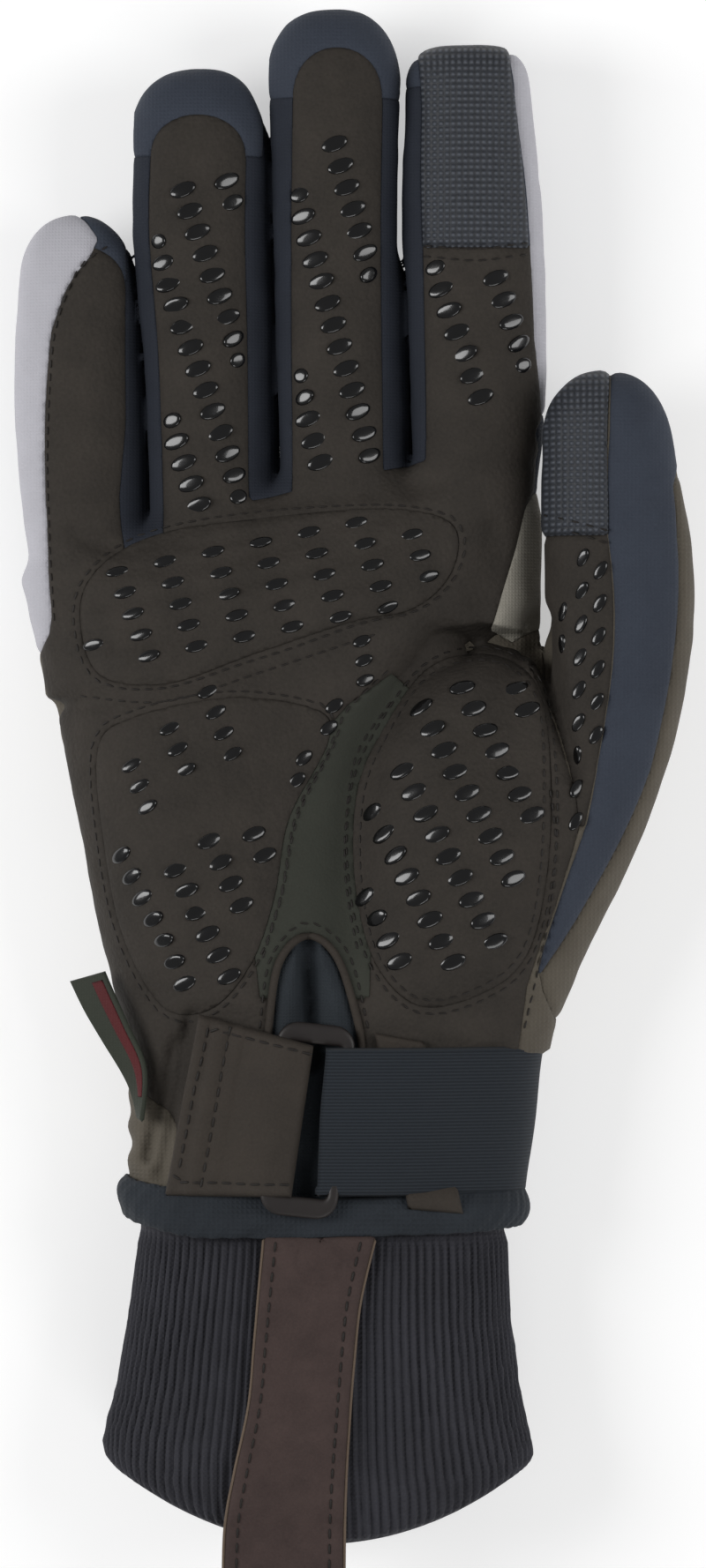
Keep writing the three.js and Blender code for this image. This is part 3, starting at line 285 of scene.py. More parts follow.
@dataclass(frozen=True)
class Finish:
    """One real finish: what it is made of and how its surface was made."""

    name: str
    slot: str
    colour: str
    second: str
    surface: Surface
    pitch_mm: float
    roughness: float
    bump: float
    sheen: float = 0.0
    coat: float = 0.0
    specular: float = 0.5
    blotch_mm: float = 14.0

    def material(self) -> bpy.types.Material:
        """Return the finish as a Blender material, made once."""
        known = bpy.data.materials.get(self.name)
        if known:
            return known
        made = bpy.data.materials.new(self.name)
        made.use_nodes = True
        tree = made.node_tree
        tree.nodes.clear()
        place = add_node(tree, "ShaderNodeTexCoord").outputs["Object"]
        height = self.relief(tree, place)
        blotch = add_node(
            tree,
            "ShaderNodeTexNoise",
            {"Scale": 1000.0 / self.blotch_mm, "Detail": 5.0, "Roughness": 0.6},
            {"Vector": place},
        )
        fibre = add_node(
            tree,
            "ShaderNodeTexNoise",
            {"Scale": 1000.0 / max(self.pitch_mm * 0.6, 0.3), "Detail": 2.0},
            {"Vector": place},
        )
        mixed = add_node(
            tree,
            "ShaderNodeMath",
            {"operation": "MULTIPLY_ADD", "1": 0.45, "2": -0.05},
            {"0": fibre.outputs["Fac"]},
        )
        # For the check and rib weaves the colour follows the relief, darker where it is low: painted shade in
        # the holes and between the ribs
        share = add_node(
            tree,
            "ShaderNodeMath",
            {"operation": "MULTIPLY_ADD", "1": 0.9, "use_clamp": True},
            {
                "0": height if self.surface in (Surface.CHECK, Surface.RIB) else blotch.outputs["Fac"],
                "2": mixed.outputs[0],
            },
        )
        tone = add_node(
            tree,
            "ShaderNodeMix",
            {"data_type": "RGBA", "6": linear(self.colour), "7": linear(self.second)},
            {"0": share.outputs[0]},
        )
        rough = add_node(
            tree,
            "ShaderNodeMapRange",
            {"3": self.roughness - 0.06, "4": min(1.0, self.roughness + 0.06)},
            {"0": blotch.outputs["Fac"]},
        )
        bump = add_node(
            tree,
            "ShaderNodeBump",
            {"Strength": 1.0, "Distance": self.bump * MM},
            {"Height": height},
        )
        shader = add_node(
            tree,
            "ShaderNodeBsdfPrincipled",
            {
                "Metallic": 0.0,
                "IOR": 1.5,
                "Sheen Weight": self.sheen,
                "Sheen Roughness": 0.45,
                "Coat Weight": self.coat,
                "Coat Roughness": 0.06,
                "Specular IOR Level": self.specular,
            },
            {
                "Base Color": tone.outputs[2],
                "Roughness": rough.outputs[0],
                "Normal": bump.outputs[0],
            },
        )
        add_node(tree, "ShaderNodeOutputMaterial", None, {"Surface": shader.outputs[0]})
        return made

    def relief(self, tree: bpy.types.NodeTree, place: bpy.types.NodeSocket) -> bpy.types.NodeSocket:
        """Return the socket with the height of the finish's own small relief."""
        if self.surface is Surface.GRAIN:
            pebbles = add_node(
                tree,
                "ShaderNodeTexVoronoi",
                {"Scale": 1000.0 / self.pitch_mm, "feature": "SMOOTH_F1", "Smoothness": 0.6},
                {"Vector": place},
            )
            nap = add_node(
                tree,
                "ShaderNodeTexNoise",
                {"Scale": 1000.0 / (3.0 * self.pitch_mm), "Detail": 6.0, "Roughness": 0.65},
                {"Vector": place},
            )
            return add_node(
                tree,
                "ShaderNodeMath",
                {"operation": "MULTIPLY_ADD", "1": 0.5},
                {"0": pebbles.outputs["Distance"], "2": nap.outputs["Fac"]},
            ).outputs[0]
        if self.surface is Surface.SMOOTH:
            return add_node(
                tree,
                "ShaderNodeTexNoise",
                {"Scale": 1000.0 / self.pitch_mm, "Detail": 2.0},
                {"Vector": place},
            ).outputs["Fac"]
        scale = band_scale(self.pitch_mm)
        wobble = 0.4 if self.surface is Surface.WEAVE else 0.0
        across, along = (
            add_node(
                tree,
                "ShaderNodeTexWave",
                {"bands_direction": axis, "Scale": scale, "Distortion": wobble, "Detail": 1.0},
                {"Vector": place},
            ).outputs["Fac"]
            for axis in ("X", "Y")
        )
        if self.surface is Surface.RIB:
            return along
        kind = "MULTIPLY" if self.surface is Surface.CHECK else "MAXIMUM"
        return add_node(
            tree, "ShaderNodeMath", {"operation": kind}, {"0": across, "1": along}
        ).outputs[0]


# Microfibre suede, brushed: dull, slightly napped, with a fine pebble and soft tone changes
LEATHER = Finish(
    "microfibre_suede_brushed", "palm_leather", "#1c1a17", "#3d3833",
    Surface.GRAIN, 0.9, 0.8, 0.26, specular=0.22, blotch_mm=11.0,
)
# The same suede worn a little smoother on the strap tab
TAB_LEATHER = Finish(
    "microfibre_suede_tab", "palm_leather", "#25211e", "#3e3832",
    Surface.GRAIN, 0.8, 0.78, 0.16, specular=0.22,
)
# The plain strip up the middle of the palm: the same suede, finer and a little greener
STRIP_SUEDE = Finish(
    "microfibre_suede_fine", "palm_leather", "#2a2b26", "#3a3c35",
    Surface.GRAIN, 0.6, 0.8, 0.1, specular=0.2,
)
# Polyester softshell, knitted and brushed: a matt navy cloth with a fine even weave
NAVY = Finish(
    "polyester_softshell_navy", "navy_softshell", "#2b2f39", "#3d434e",
    Surface.WEAVE, 0.7, 0.85, 0.07, sheen=0.03, specular=0.2,
)
# Polyester jersey between the fingers: a little smoother than the softshell, and painted darker as painted
# shade between the fingers
NAVY_SIDE_PAINTED_SHADE = Finish(
    "polyester_jersey_side_painted_shade", "navy_softshell", "#1f2229", "#2d313a",
    Surface.WEAVE, 0.6, 0.85, 0.06, specular=0.2,
)
# Stretch lining in the wrist's arch: dull, and painted a darker blue-grey than the softshell as painted shade
# in the arch's recess
GUSSET_PAINTED_SHADE = Finish(
    "stretch_lining_gusset_painted_shade", "navy_softshell", "#1c2024", "#31363b",
    Surface.WEAVE, 0.6, 0.85, 0.06, specular=0.2,
)
# The same softshell in brown-grey
BROWN_GREY = Finish(
    "polyester_softshell_brown_grey", "brown_grey_softshell", "#454039", "#5e584e",
    Surface.WEAVE, 0.8, 0.85, 0.08, sheen=0.03, specular=0.2,
)
# The thin cloth in the thumb's web, painted much paler than the brown-grey softshell: painted light on the
# web
WEB_CLOTH_PAINTED_LIGHT = Finish(
    "stretch_cloth_thumb_web_painted_light", "brown_grey_softshell", "#77736a", "#98948a",
    Surface.WEAVE, 0.6, 0.85, 0.06, specular=0.2,
)
# Stretch jersey, light grey: pale and even with a very fine knit
LIGHT_GREY = Finish(
    "stretch_jersey_light_grey", "light_grey_softshell", "#a6a5ab", "#bab9c0",
    Surface.WEAVE, 0.6, 0.85, 0.05, specular=0.25,
)
# Coated conductive cloth, woven in a small check: slightly shiny threads over dark holes, their darkness
# painted shade
TOUCH = Finish(
    "conductive_cloth_coated", "touch_fabric", "#1b1d21", "#53575f",
    Surface.CHECK, 1.15, 0.55, 0.3, specular=0.3,
)
# Elastic webbing, woven: close cross ribs with painted shade between them, and a dull face
ELASTIC = Finish(
    "elastic_webbing_woven", "elastic_webbing", "#1b1f24", "#2c3137",
    Surface.RIB, 0.62, 0.82, 0.14, sheen=0.03, specular=0.2,
)
# Rib knit of stretch yarn: the ribs are in the mesh, the yarn's stitches in the relief
KNIT = Finish(
    "stretch_yarn_rib_knit", "rib_knit", "#242428", "#3c3c42",
    Surface.WEAVE, 0.9, 0.9, 0.12, sheen=0.04, specular=0.2,
)
# Twill binding, rolled and sewn: dark, matt
HEM = Finish(
    "twill_binding_rolled", "hem_fabric", "#181b1f", "#30353b",
    Surface.WEAVE, 0.9, 0.85, 0.1, sheen=0.03, specular=0.2,
)
# Suede pull strap: brown and blotchy, with a soft nap
PULL_SUEDE = Finish(
    "suede_pull_strap", "pull_strap_leather", "#2a2120", "#4a3d3a",
    Surface.GRAIN, 0.7, 0.8, 0.14, specular=0.22, blotch_mm=6.0,
)
# The strap's cut edge: raw suede, paler than its face
PULL_EDGE = Finish(
    "suede_raw_edge", "pull_strap_leather", "#574a40", "#6d5f52",
    Surface.GRAIN, 0.6, 0.85, 0.1, specular=0.2,
)
# Acetal loop, moulded: a satin dark plastic with soft edges
ACETAL = Finish(
    "acetal_moulded", "loop_plastic", "#1b1817", "#241f1e",
    Surface.SMOOTH, 1.2, 0.48, 0.03, specular=0.4,
)
# Silicone grip, printed and cured: glossy black drops
SILICONE = Finish(
    "silicone_grip_cured", "palm_leather", "#070708", "#0c0c0d",
    Surface.SMOOTH, 3.0, 0.2, 0.01, coat=0.6, specular=0.35,
)
# Bonded polyester thread: a slightly shiny dark line of stitches
THREAD = Finish(
    "polyester_thread_bonded", "palm_leather", "#181513", "#24201d",
    Surface.SMOOTH, 0.4, 0.6, 0.02, specular=0.3,
)
# Damask label cloth: dark grey-green, and the stripe woven in dull red
LABEL = Finish(
    "damask_label_cloth", "label_cloth", "#23271f", "#31352c",
    Surface.WEAVE, 0.5, 0.75, 0.05, specular=0.3,
)
LABEL_RED = Finish(
    "damask_label_stripe", "label_cloth", "#3d1214", "#551b1e",
    Surface.WEAVE, 0.5, 0.75, 0.05, specular=0.3,
)


# Meshes


def build_object(name: str, points: Array, faces: Sequence[Array], finish: Finish) -> bpy.types.Object:
    """Make a Blender object from points in millimetres.

    Args:
        name: The piece's name.
        points: Its points, one row each.
        faces: Arrays of triangles or of quads, as rows of point numbers.
        finish: The finish that it is dressed in.

    Returns:
        The object, riding on the glove's body.
    """
    faces = [np.asarray(block, dtype=np.int32) for block in faces if len(block)]
    sizes = np.concatenate([np.full(len(block), block.shape[1], dtype=np.int32) for block in faces])
    corners = np.concatenate([block.ravel() for block in faces])
    mesh = bpy.data.meshes.new(name)
    mesh.vertices.add(len(points))
    mesh.vertices.foreach_set("co", (np.asarray(points, dtype=np.float32) * MM).ravel())
    mesh.loops.add(len(corners))
    mesh.loops.foreach_set("vertex_index", corners)
    mesh.polygons.add(len(sizes))
    starts = np.concatenate([[0], np.cumsum(sizes)[:-1]]).astype(np.int32)
    mesh.polygons.foreach_set("loop_start", starts)
    mesh.polygons.foreach_set("use_smooth", np.ones(len(sizes), dtype=bool))
    mesh.update(calc_edges=True)
    mesh.validate()
    mesh.materials.append(finish.material())
    piece = bpy.data.objects.new(name, mesh)
    bpy.context.scene.collection.objects.link(piece)
    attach(piece, BODY)
    LOG.info("%s: %d points, %d faces", name, len(points), len(sizes))
    return piece


@dataclass
class Skin:
    """An open surface: points, the direction that each faces, and triangles."""

    points: Array
    normals: Array
    triangles: Array

    def part(self, triangles: Array) -> "Skin":
        """Return the part of the surface that some triangles cover."""
        used, renumbered = np.unique(triangles, return_inverse=True)
        return Skin(self.points[used], self.normals[used], renumbered.reshape(-1, 3))

    def split(self, values: Array) -> tuple["Skin", "Skin"]:
        """Cut the surface where a value at its points crosses zero.

        Args:
            values: The value at each point.

        Returns:
            The part where the value is negative, and the rest.
        """
        values = np.where(np.abs(values) < 0.02, 0.02, values)
        negative = values < 0
        count = negative[self.triangles].sum(axis=1)
        mixed = (count == 1) | (count == 2)
        cut = self.triangles[mixed]
        lone = np.where(
            (count[mixed] == 1)[:, None], negative[cut], ~negative[cut]
        ).argmax(axis=1)
        rows = np.arange(len(cut))
        a, b, c = (cut[rows, (lone + k) % 3] for k in range(3))
        edges = np.sort(np.vstack([np.column_stack([a, b]), np.column_stack([a, c])]), axis=1)
        unique, where = np.unique(edges, axis=0, return_inverse=True)
        where = where.ravel()
        start, end = unique[:, 0], unique[:, 1]
        share = (values[start] / (values[start] - values[end]))[:, None]
        fresh = self.points[start] * (1 - share) + self.points[end] * share
        facing = self.normals[start] * (1 - share) + self.normals[end] * share
        facing /= np.linalg.norm(facing, axis=1)[:, None] + 1e-9
        whole = Skin(
            np.vstack([self.points, fresh]), np.vstack([self.normals, facing]), self.triangles
        )
        p = where[: len(cut)] + len(self.points)
        q = where[len(cut) :] + len(self.points)
        tips = np.column_stack([a, p, q])
        stumps = np.vstack([np.column_stack([p, b, c]), np.column_stack([p, c, q])])
        tip_inside = negative[a]
        stump_inside = np.concatenate([~tip_inside, ~tip_inside])
        inside = np.vstack([self.triangles[count == 3], tips[tip_inside], stumps[stump_inside]])
        outside = np.vstack([self.triangles[count == 0], tips[~tip_inside], stumps[~stump_inside]])
        return whole.part(inside), whole.part(outside)

    def rim(self) -> Array:
        """Return the edges that only one triangle uses, turned as that triangle runs."""
        edges = np.vstack([self.triangles[:, [0, 1]], self.triangles[:, [1, 2]], self.triangles[:, [2, 0]]])
        key = np.sort(edges, axis=1)
        _, index, counts = np.unique(key, axis=0, return_index=True, return_counts=True)
        return edges[index[counts == 1]]

    def edge_distance(self, limit: float) -> Array:
        """Return each point's distance from the surface's rim, up to a limit."""
        rim = np.unique(self.rim())
        tree = KDTree(len(rim))
        for k, place in enumerate(self.points[rim]):
            tree.insert(Vector(place), k)
        tree.balance()
        return np.array([min(limit, tree.find(Vector(place))[2]) for place in self.points])

    def thick(self, wall: float) -> tuple[Array, Array]:
        """Return the points and triangles of the surface as a closed wall, grown inwards."""
        count = len(self.points)
        inner = self.points - wall * self.normals
        rim = self.rim()
        a, b = rim[:, 0], rim[:, 1]
        sides = np.vstack([np.column_stack([b, a, a + count]), np.column_stack([b, a + count, b + count])])
        return (
            np.vstack([self.points, inner]),
            np.vstack([self.triangles, self.triangles[:, ::-1] + count, sides]),
        )


def net(field: Callable[[Array], Array], low: Array, high: Array, step: float) -> Skin:
    """Mesh the surface where a field is zero.

    Args:
        field: Gives a signed distance at each point of an (n, 3) array, negative inside.
        low: The lowest corner of the box that is searched.
        high: Its highest corner.
        step: The distance between samples.

    Returns:
        The surface, facing out.
    """
    counts = np.ceil((high - low) / step).astype(int) + 1
    axes = [low[k] + step * np.arange(counts[k]) for k in range(3)]
    values = np.empty(counts)
    plane_y, plane_z = np.meshgrid(axes[1], axes[2], indexing="ij")
    for i, x in enumerate(axes[0]):
        spots = np.column_stack([np.full(plane_y.size, x), plane_y.ravel(), plane_z.ravel()])
        values[i] = field(spots).reshape(counts[1], counts[2])
    cells = counts - 1
    strides = np.array([cells[1] * cells[2], cells[2], 1])
    total = np.zeros((int(np.prod(cells)), 3))
    hits = np.zeros(int(np.prod(cells)))
    quads = []
    for axis in range(3):
        second, third = (axis + 1) % 3, (axis + 2) % 3
        before = np.take(values, np.arange(counts[axis] - 1), axis=axis)
        after = np.take(values, np.arange(1, counts[axis]), axis=axis)
        index = np.argwhere((before < 0) != (after < 0))
        index = index[
            (index[:, second] > 0)
            & (index[:, second] < cells[second])
            & (index[:, third] > 0)
            & (index[:, third] < cells[third])
        ]
        picked = tuple(index.T)
        v0, v1 = before[picked], after[picked]
        places = low + step * index.astype(float)
        places[:, axis] += step * v0 / (v0 - v1)
        corners = []
        for ds, dt in ((-1, -1), (0, -1), (0, 0), (-1, 0)):
            cell = index.copy()
            cell[:, second] += ds
            cell[:, third] += dt
            flat = cell @ strides
            corners.append(flat)
            for k in range(3):
                total[:, k] += np.bincount(flat, places[:, k], minlength=len(hits))
            hits += np.bincount(flat, minlength=len(hits))
        quad = np.column_stack(corners)
        quads.append(np.where((v0 < 0)[:, None], quad, quad[:, ::-1]))
    quads = np.vstack(quads)
    used, renumbered = np.unique(quads, return_inverse=True)
    quads = renumbered.reshape(-1, 4)
    points = total[used] / hits[used][:, None]
    for _ in range(2):
        slope = gradient(field, points)
        points -= field(points)[:, None] * slope / np.maximum((slope**2).sum(axis=1), 0.05)[:, None]
    slope = gradient(field, points)
    normals = slope / np.linalg.norm(slope, axis=1)[:, None]
    first = np.linalg.norm(points[quads[:, 0]] - points[quads[:, 2]], axis=1)
    other = np.linalg.norm(points[quads[:, 1]] - points[quads[:, 3]], axis=1)
    short = first <= other
    triangles = np.vstack(
        [
            quads[short][:, [0, 1, 2]],
            quads[short][:, [0, 2, 3]],
            quads[~short][:, [0, 1, 3]],
            quads[~short][:, [1, 2, 3]],
        ]
    )
    return Skin(points, normals, triangles)


def gradient(field: Callable[[Array], Array], points: Array) -> Array:
    """Return the field's slope at each point."""
    reach = 0.25
    slope = np.empty_like(points)
    for axis in range(3):
        shift = np.zeros(3)
        shift[axis] = reach
        slope[:, axis] = (field(points + shift) - field(points - shift)) / (2 * reach)
    return slope


def copies(template: tuple[Array, Array], places: Array, axes: Array, sizes: Array) -> tuple[Array, Array]:
    """Repeat a small mesh at many places.

    Args:
        template: The mesh's points and faces.
        places: Where each copy's origin goes, (n, 3).
        axes: Each copy's own three axes as rows, (n, 3, 3).
        sizes: Each copy's stretch along those axes, (n, 3).

    Returns:
        The points and faces of all copies as one mesh.
    """
    points, faces = template
    turned = np.einsum("nk,ckj->cnj", points, axes * sizes[:, :, None]) + places[:, None, :]
    offset = np.arange(len(places))[:, None, None] * len(points)
    return turned.reshape(-1, 3), (faces[None] + offset).reshape(-1, faces.shape[1])


def frames_on(normals: Array, headings: Array) -> Array:
    """Return for each place the axes along a heading, across it and out of the surface."""
    along = headings - (headings * normals).sum(axis=1)[:, None] * normals
    along /= np.linalg.norm(along, axis=1)[:, None] + 1e-9
    across = np.cross(normals, along)
    return np.stack([along, across, normals], axis=1)


def dome_template() -> tuple[Array, Array]:
    """Return a unit drop: a low dome with a rounded foot, as points and quads."""
    sides = 14
    profile = [(1.0, -0.8), (1.0, 0.1), (0.95, 0.42), (0.83, 0.72), (0.62, 0.91), (0.32, 0.99)]
    turns = 2 * np.pi * np.arange(sides) / sides
    rings = [np.column_stack([r * np.cos(turns), r * np.sin(turns), np.full(sides, z)]) for r, z in profile]
    points = np.vstack(rings + [np.array([[0.0, 0.0, 1.0]])])
    faces = []
    for ring in range(len(profile) - 1):
        for k in range(sides):
            a, b = ring * sides + k, ring * sides + (k + 1) % sides
            faces.append((a, b, b + sides, a + sides))
    last = (len(profile) - 1) * sides
    top = len(points) - 1
    for k in range(0, sides, 2):
        faces.append((last + k, last + k + 1, last + (k + 2) % sides, top))
    return points, np.array(faces)


def stitch_template() -> tuple[Array, Array]:
    """Return a unit stitch: a short bead that runs along its first axis, as points and quads."""
    sides = 6
    profile = [(-1.0, 0.25), (-0.85, 0.75), (-0.4, 1.0), (0.4, 1.0), (0.85, 0.75), (1.0, 0.25)]
    turns = 2 * np.pi * np.arange(sides) / sides
    rings = [np.column_stack([np.full(sides, x), r * np.cos(turns), r * np.sin(turns)]) for x, r in profile]
    faces = []
    for ring in range(len(profile) - 1):
        for k in range(sides):
            a, b = ring * sides + k, ring * sides + (k + 1) % sides
            faces.append((a, b, b + sides, a + sides))
    return np.vstack(rings), np.array(faces)


def tube(path: Array, normals: Array, wide: float, high: float, closed: bool = False) -> tuple[Array, Array]:
    """Sweep a small oval along a path.

    Args:
        path: The path's points.
        normals: The way up at each of them.
        wide: Half the oval's width, along the ground.
        high: Half its height.
        closed: Whether the path runs back to its start.

    Returns:
        Its points and quads, with tapered ends where it isn't closed.
    """
    sides = 10
    ahead = np.roll(path, -1, axis=0) - np.roll(path, 1, axis=0)
    if not closed:
        ahead[0], ahead[-1] = path[1] - path[0], path[-1] - path[-2]
    across = np.cross(ahead, normals)
    across /= np.linalg.norm(across, axis=1)[:, None]
    turns = 2 * np.pi * np.arange(sides) / sides
    scale = np.ones(len(path))
    if not closed:
        scale[[0, -1]] = 0.05
    rings = (
        path[:, None]
        + (wide * scale)[:, None, None] * np.cos(turns)[None, :, None] * across[:, None]
        + (high * scale)[:, None, None] * np.sin(turns)[None, :, None] * normals[:, None]
    )
    number = np.arange(len(path) * sides).reshape(len(path), sides)
    after = np.roll(number, -1, axis=0) if closed else number[1:]
    before = number if closed else number[:-1]
    faces = np.stack(
        [before, np.roll(before, -1, axis=1), np.roll(after, -1, axis=1), after], axis=2
    )
    return rings.reshape(-1, 3), faces.reshape(-1, 4)


def plump_sheet(middle: Array, normals: Array, half: float, rounding: float,
                closed: bool = False) -> tuple[Array, Array]:
    """Turn a grid of points into a strip with thickness and rounded edges.

    Args:
        middle: The strip's middle surface, (rows, columns, 3).
        normals: The way out of the strip at each of its points.
        half: Half its thickness.
        rounding: How far in from the edge the strip reaches full thickness.
        closed: Whether the first and the last column join into a ring.

    Returns:
        Its points and quads.
    """
    rows, columns = middle.shape[:2]
    lengths = np.linalg.norm(np.diff(middle, axis=0), axis=2)
    widths = np.linalg.norm(np.diff(middle, axis=1), axis=2)
    down = np.vstack([np.zeros((1, columns)), np.cumsum(lengths, axis=0)])
    over = np.hstack([np.zeros((rows, 1)), np.cumsum(widths, axis=1)])
    edge = np.minimum(down, down[-1:] - down)
    if not closed:
        edge = np.minimum(edge, np.minimum(over, over[:, -1:] - over))
    share = np.clip(edge / rounding, 0.0, 1.0)
    swell = (half * np.sqrt(1.0 - (1.0 - share) ** 2))[:, :, None]
    upper = (middle + normals * swell).reshape(-1, 3)
    lower = (middle - normals * swell).reshape(-1, 3)
    count = rows * columns
    number = np.arange(count).reshape(rows, columns)
    if closed:
        number = np.hstack([number, number[:, :1]])
    a, b = number[:-1, :-1].ravel(), number[:-1, 1:].ravel()
    c, d = number[1:, 1:].ravel(), number[1:, :-1].ravel()
    top = np.column_stack([a, b, c, d])
    rim = np.zeros((rows, columns), dtype=bool)
    rim[0] = rim[-1] = True
    if not closed:
        rim[:, 0] = rim[:, -1] = True
    under = np.arange(count) + count
    under[rim.ravel()] = np.arange(count)[rim.ravel()]
    bottom = under[top][:, ::-1]
    points = np.vstack([upper, lower])
    faces = np.vstack([top, bottom])
    used, renumbered = np.unique(faces, return_inverse=True)
    return points[used], renumbered.reshape(-1, 4)


def sheet_normals(middle: Array) -> Array:
    """Return the way out of a sheet at each point of its grid, (rows, columns, 3)."""
    normals = np.cross(np.gradient(middle, axis=0), np.gradient(middle, axis=1))
    return normals / np.linalg.norm(normals, axis=2)[:, :, None]


def patch_between(corners: tuple[tuple[float, float], ...], rows: int, columns: int) -> Array:
    """Return a grid of places between four corners in the photograph, (rows, columns, 2).

    The corners go clockwise from the upper left one.
    """
    top_left, top_right, low_right, low_left = (np.array(from_photo(*c)) for c in corners)
    u = np.linspace(0, 1, columns)[None, :, None]
    v = np.linspace(0, 1, rows)[:, None, None]
    return (top_left * (1 - u) + top_right * u) * (1 - v) + (low_left * (1 - u) + low_right * u) * v


# The hand's form


@dataclass(frozen=True)
class Section:
    """One section of a finger: along is a share of its length, the rest of its width or depth."""

    along: float
    shift: float
    wide: float
    deep: float


@dataclass(frozen=True)
class Edge:
    """A panel's two edges at one place along a finger or the palm, as shares of the half width."""

    along: float
    left: float
    right: float


@dataclass(frozen=True)
class Limb:
    """A finger or the thumb, lofted through a few sections and closed by a round tip."""

    root_across: float
    root_along: float
    length: float
    width: float
    depth: float
    root_height: float
    lift: float
    tip_power: float
    sections: tuple[Section, ...]

    SMOOTHING = 0.05
    RING_POWER = 2.3

    @cached_property
    def columns(self) -> dict[str, Array]:
        """Return the sections' columns, sampled finely along the finger and smoothed."""
        along = np.linspace(-0.2, 1.2, 281)
        kernel = np.exp(-0.5 * (np.arange(-30, 31) * 0.005 / self.SMOOTHING) ** 2)
        kernel /= kernel.sum()
        knots = [s.along for s in self.sections]
        made = {"along": along}
        for name in ("shift", "wide", "deep"):
            values = np.interp(along, knots, [getattr(s, name) for s in self.sections])
            padded = np.pad(values, 30, mode="edge")
            made[name] = np.convolve(padded, kernel, mode="valid")
        return made

    def at(self, along: Array | float) -> tuple[Array, Array, Array, Array, Array]:
        """Return x, y, z, half width and half depth at a share of the finger's length."""
        table = self.columns
        shift, wide, deep = (np.interp(along, table["along"], table[k]) for k in ("shift", "wide", "deep"))
        x = self.root_across * PALM_WIDTH + shift * self.width
        y = wrist_y() + self.root_along * PALM_LENGTH + np.asarray(along) * self.length
        z = self.root_height + self.lift * np.clip(along, 0.0, 1.0) ** 2
        return x, y, z, wide * self.width / 2, deep * self.depth / 2

    def share_at(self, y: Array | float) -> Array | float:
        """Return the share of the finger's length at a place along the glove."""
        return (y - wrist_y() - self.root_along * PALM_LENGTH) / self.length

    def distance(self, points: Array) -> Array:
        """Return a signed distance from the finger's surface at each point."""
        along = self.share_at(points[:, 1])
        start = self.sections[-1].along
        x, _, z, wide, deep = self.at(along)
        sideways = np.abs((points[:, 0] - x) / wide)
        upright = np.abs((points[:, 2] - z) / deep)
        ring = (sideways**self.RING_POWER + upright**self.RING_POWER) ** (1 / self.RING_POWER)
        tip = np.clip((along - start) / (1 - start), 0.0, None)
        power = self.tip_power
        whole = np.where(tip > 0, (ring**power + tip**power) ** (1 / power), ring)
        distance = (whole - 1.0) * np.minimum(wide, deep)
        return np.maximum(distance, -along * self.length)

    def outline(self, edges: Sequence[Edge], arch: float | None = None) -> Array:
        """Return a panel's outline on the finger, seen from above.

        Args:
            edges: Its edges from the root towards the tip.
            arch: The share of the length where a rounded top ends, or None for a straight top.

        Returns:
            The outline's corners, up the left edge and down the right one.
        """
        knots = [e.along for e in edges]
        places = np.linspace(knots[0], knots[-1], 26)
        x, y, _, wide, _ = self.at(places)
        left = np.column_stack([x + np.interp(places, knots, [e.left for e in edges]) * wide, y])
        right = np.column_stack([x + np.interp(places, knots, [e.right for e in edges]) * wide, y])
        top = np.empty((0, 2))
        if arch is not None:
            turn = np.linspace(0.0, np.pi, 18)[1:-1, None]
            rise = self.at(arch)[1] - y[-1]
            span = (1 - np.cos(turn)) / 2 * (right[-1] - left[-1])
            top = left[-1] + span + np.hstack([np.zeros_like(turn), rise * np.sin(turn) ** 0.8])
        return np.vstack([left, top, right[::-1]])


def wrist_y() -> float:
    """Return where the hand's shell ends at the wrist."""
    return -0.567 * PALM_LENGTH


LITTLE = Limb(
    -0.439, 0.7164, 88.2, 22.8, 20.5, 14.0, 3.0, 2.2,
    (
        Section(0.0, 0.0, 0.83, 0.9),
        Section(0.17, -0.11, 0.93, 1.0),
        Section(0.335, -0.215, 0.94, 1.0),
        Section(0.52, -0.26, 1.0, 0.97),
        Section(0.71, -0.28, 0.99, 0.95),
        Section(0.86, -0.255, 0.93, 0.9),
    ),
)
RING = Limb(
    -0.241, 0.791, 105.8, 26.6, 23.0, 14.0, 4.0, 2.3,
    (
        Section(0.0, 0.0, 0.83, 0.9),
        Section(0.263, -0.01, 0.86, 1.0),
        Section(0.496, -0.03, 0.895, 0.98),
        Section(0.73, -0.085, 0.98, 0.95),
        Section(0.86, -0.06, 0.96, 0.9),
    ),
)
MIDDLE = Limb(
    0.0214, 0.806, 114.9, 25.0, 23.0, 14.0, 4.5, 2.3,
    (
        Section(0.0, 0.0, 0.92, 0.9),
        Section(0.252, 0.0, 0.95, 1.0),
        Section(0.44, -0.02, 0.96, 0.98),
        Section(0.655, -0.035, 0.97, 0.95),
        Section(0.875, -0.03, 1.0, 0.9),
    ),
)
INDEX = Limb(
    0.2816, 0.791, 109.6, 27.0, 23.5, 14.5, 4.0, 3.4,
    (
        Section(0.0, 0.0, 0.87, 0.9),
        Section(0.228, 0.02, 0.89, 1.0),
        Section(0.374, 0.062, 0.98, 0.98),
        Section(0.555, 0.052, 1.0, 0.97),
        Section(0.78, 0.025, 0.97, 0.93),
        Section(0.91, 0.005, 0.85, 0.86),
    ),
)
THUMB = Limb(
    0.289, 0.224, 124.4, 30.0, 27.0, 18.5, 7.0, 2.2,
    (
        Section(0.0, 0.0, 0.8, 0.85),
        Section(0.096, 0.133, 0.967, 1.0),
        Section(0.185, 0.3, 1.03, 1.08),
        Section(0.273, 0.467, 1.107, 1.1),
        Section(0.37, 0.65, 1.05, 1.05),
        Section(0.51, 0.833, 1.01, 1.0),
        Section(0.622, 0.925, 0.93, 0.97),
        Section(0.696, 0.923, 0.94, 0.95),
        Section(0.77, 0.91, 0.913, 0.93),
        Section(0.845, 0.867, 0.84, 0.9),
        Section(0.9, 0.84, 0.76, 0.84),
    ),
)
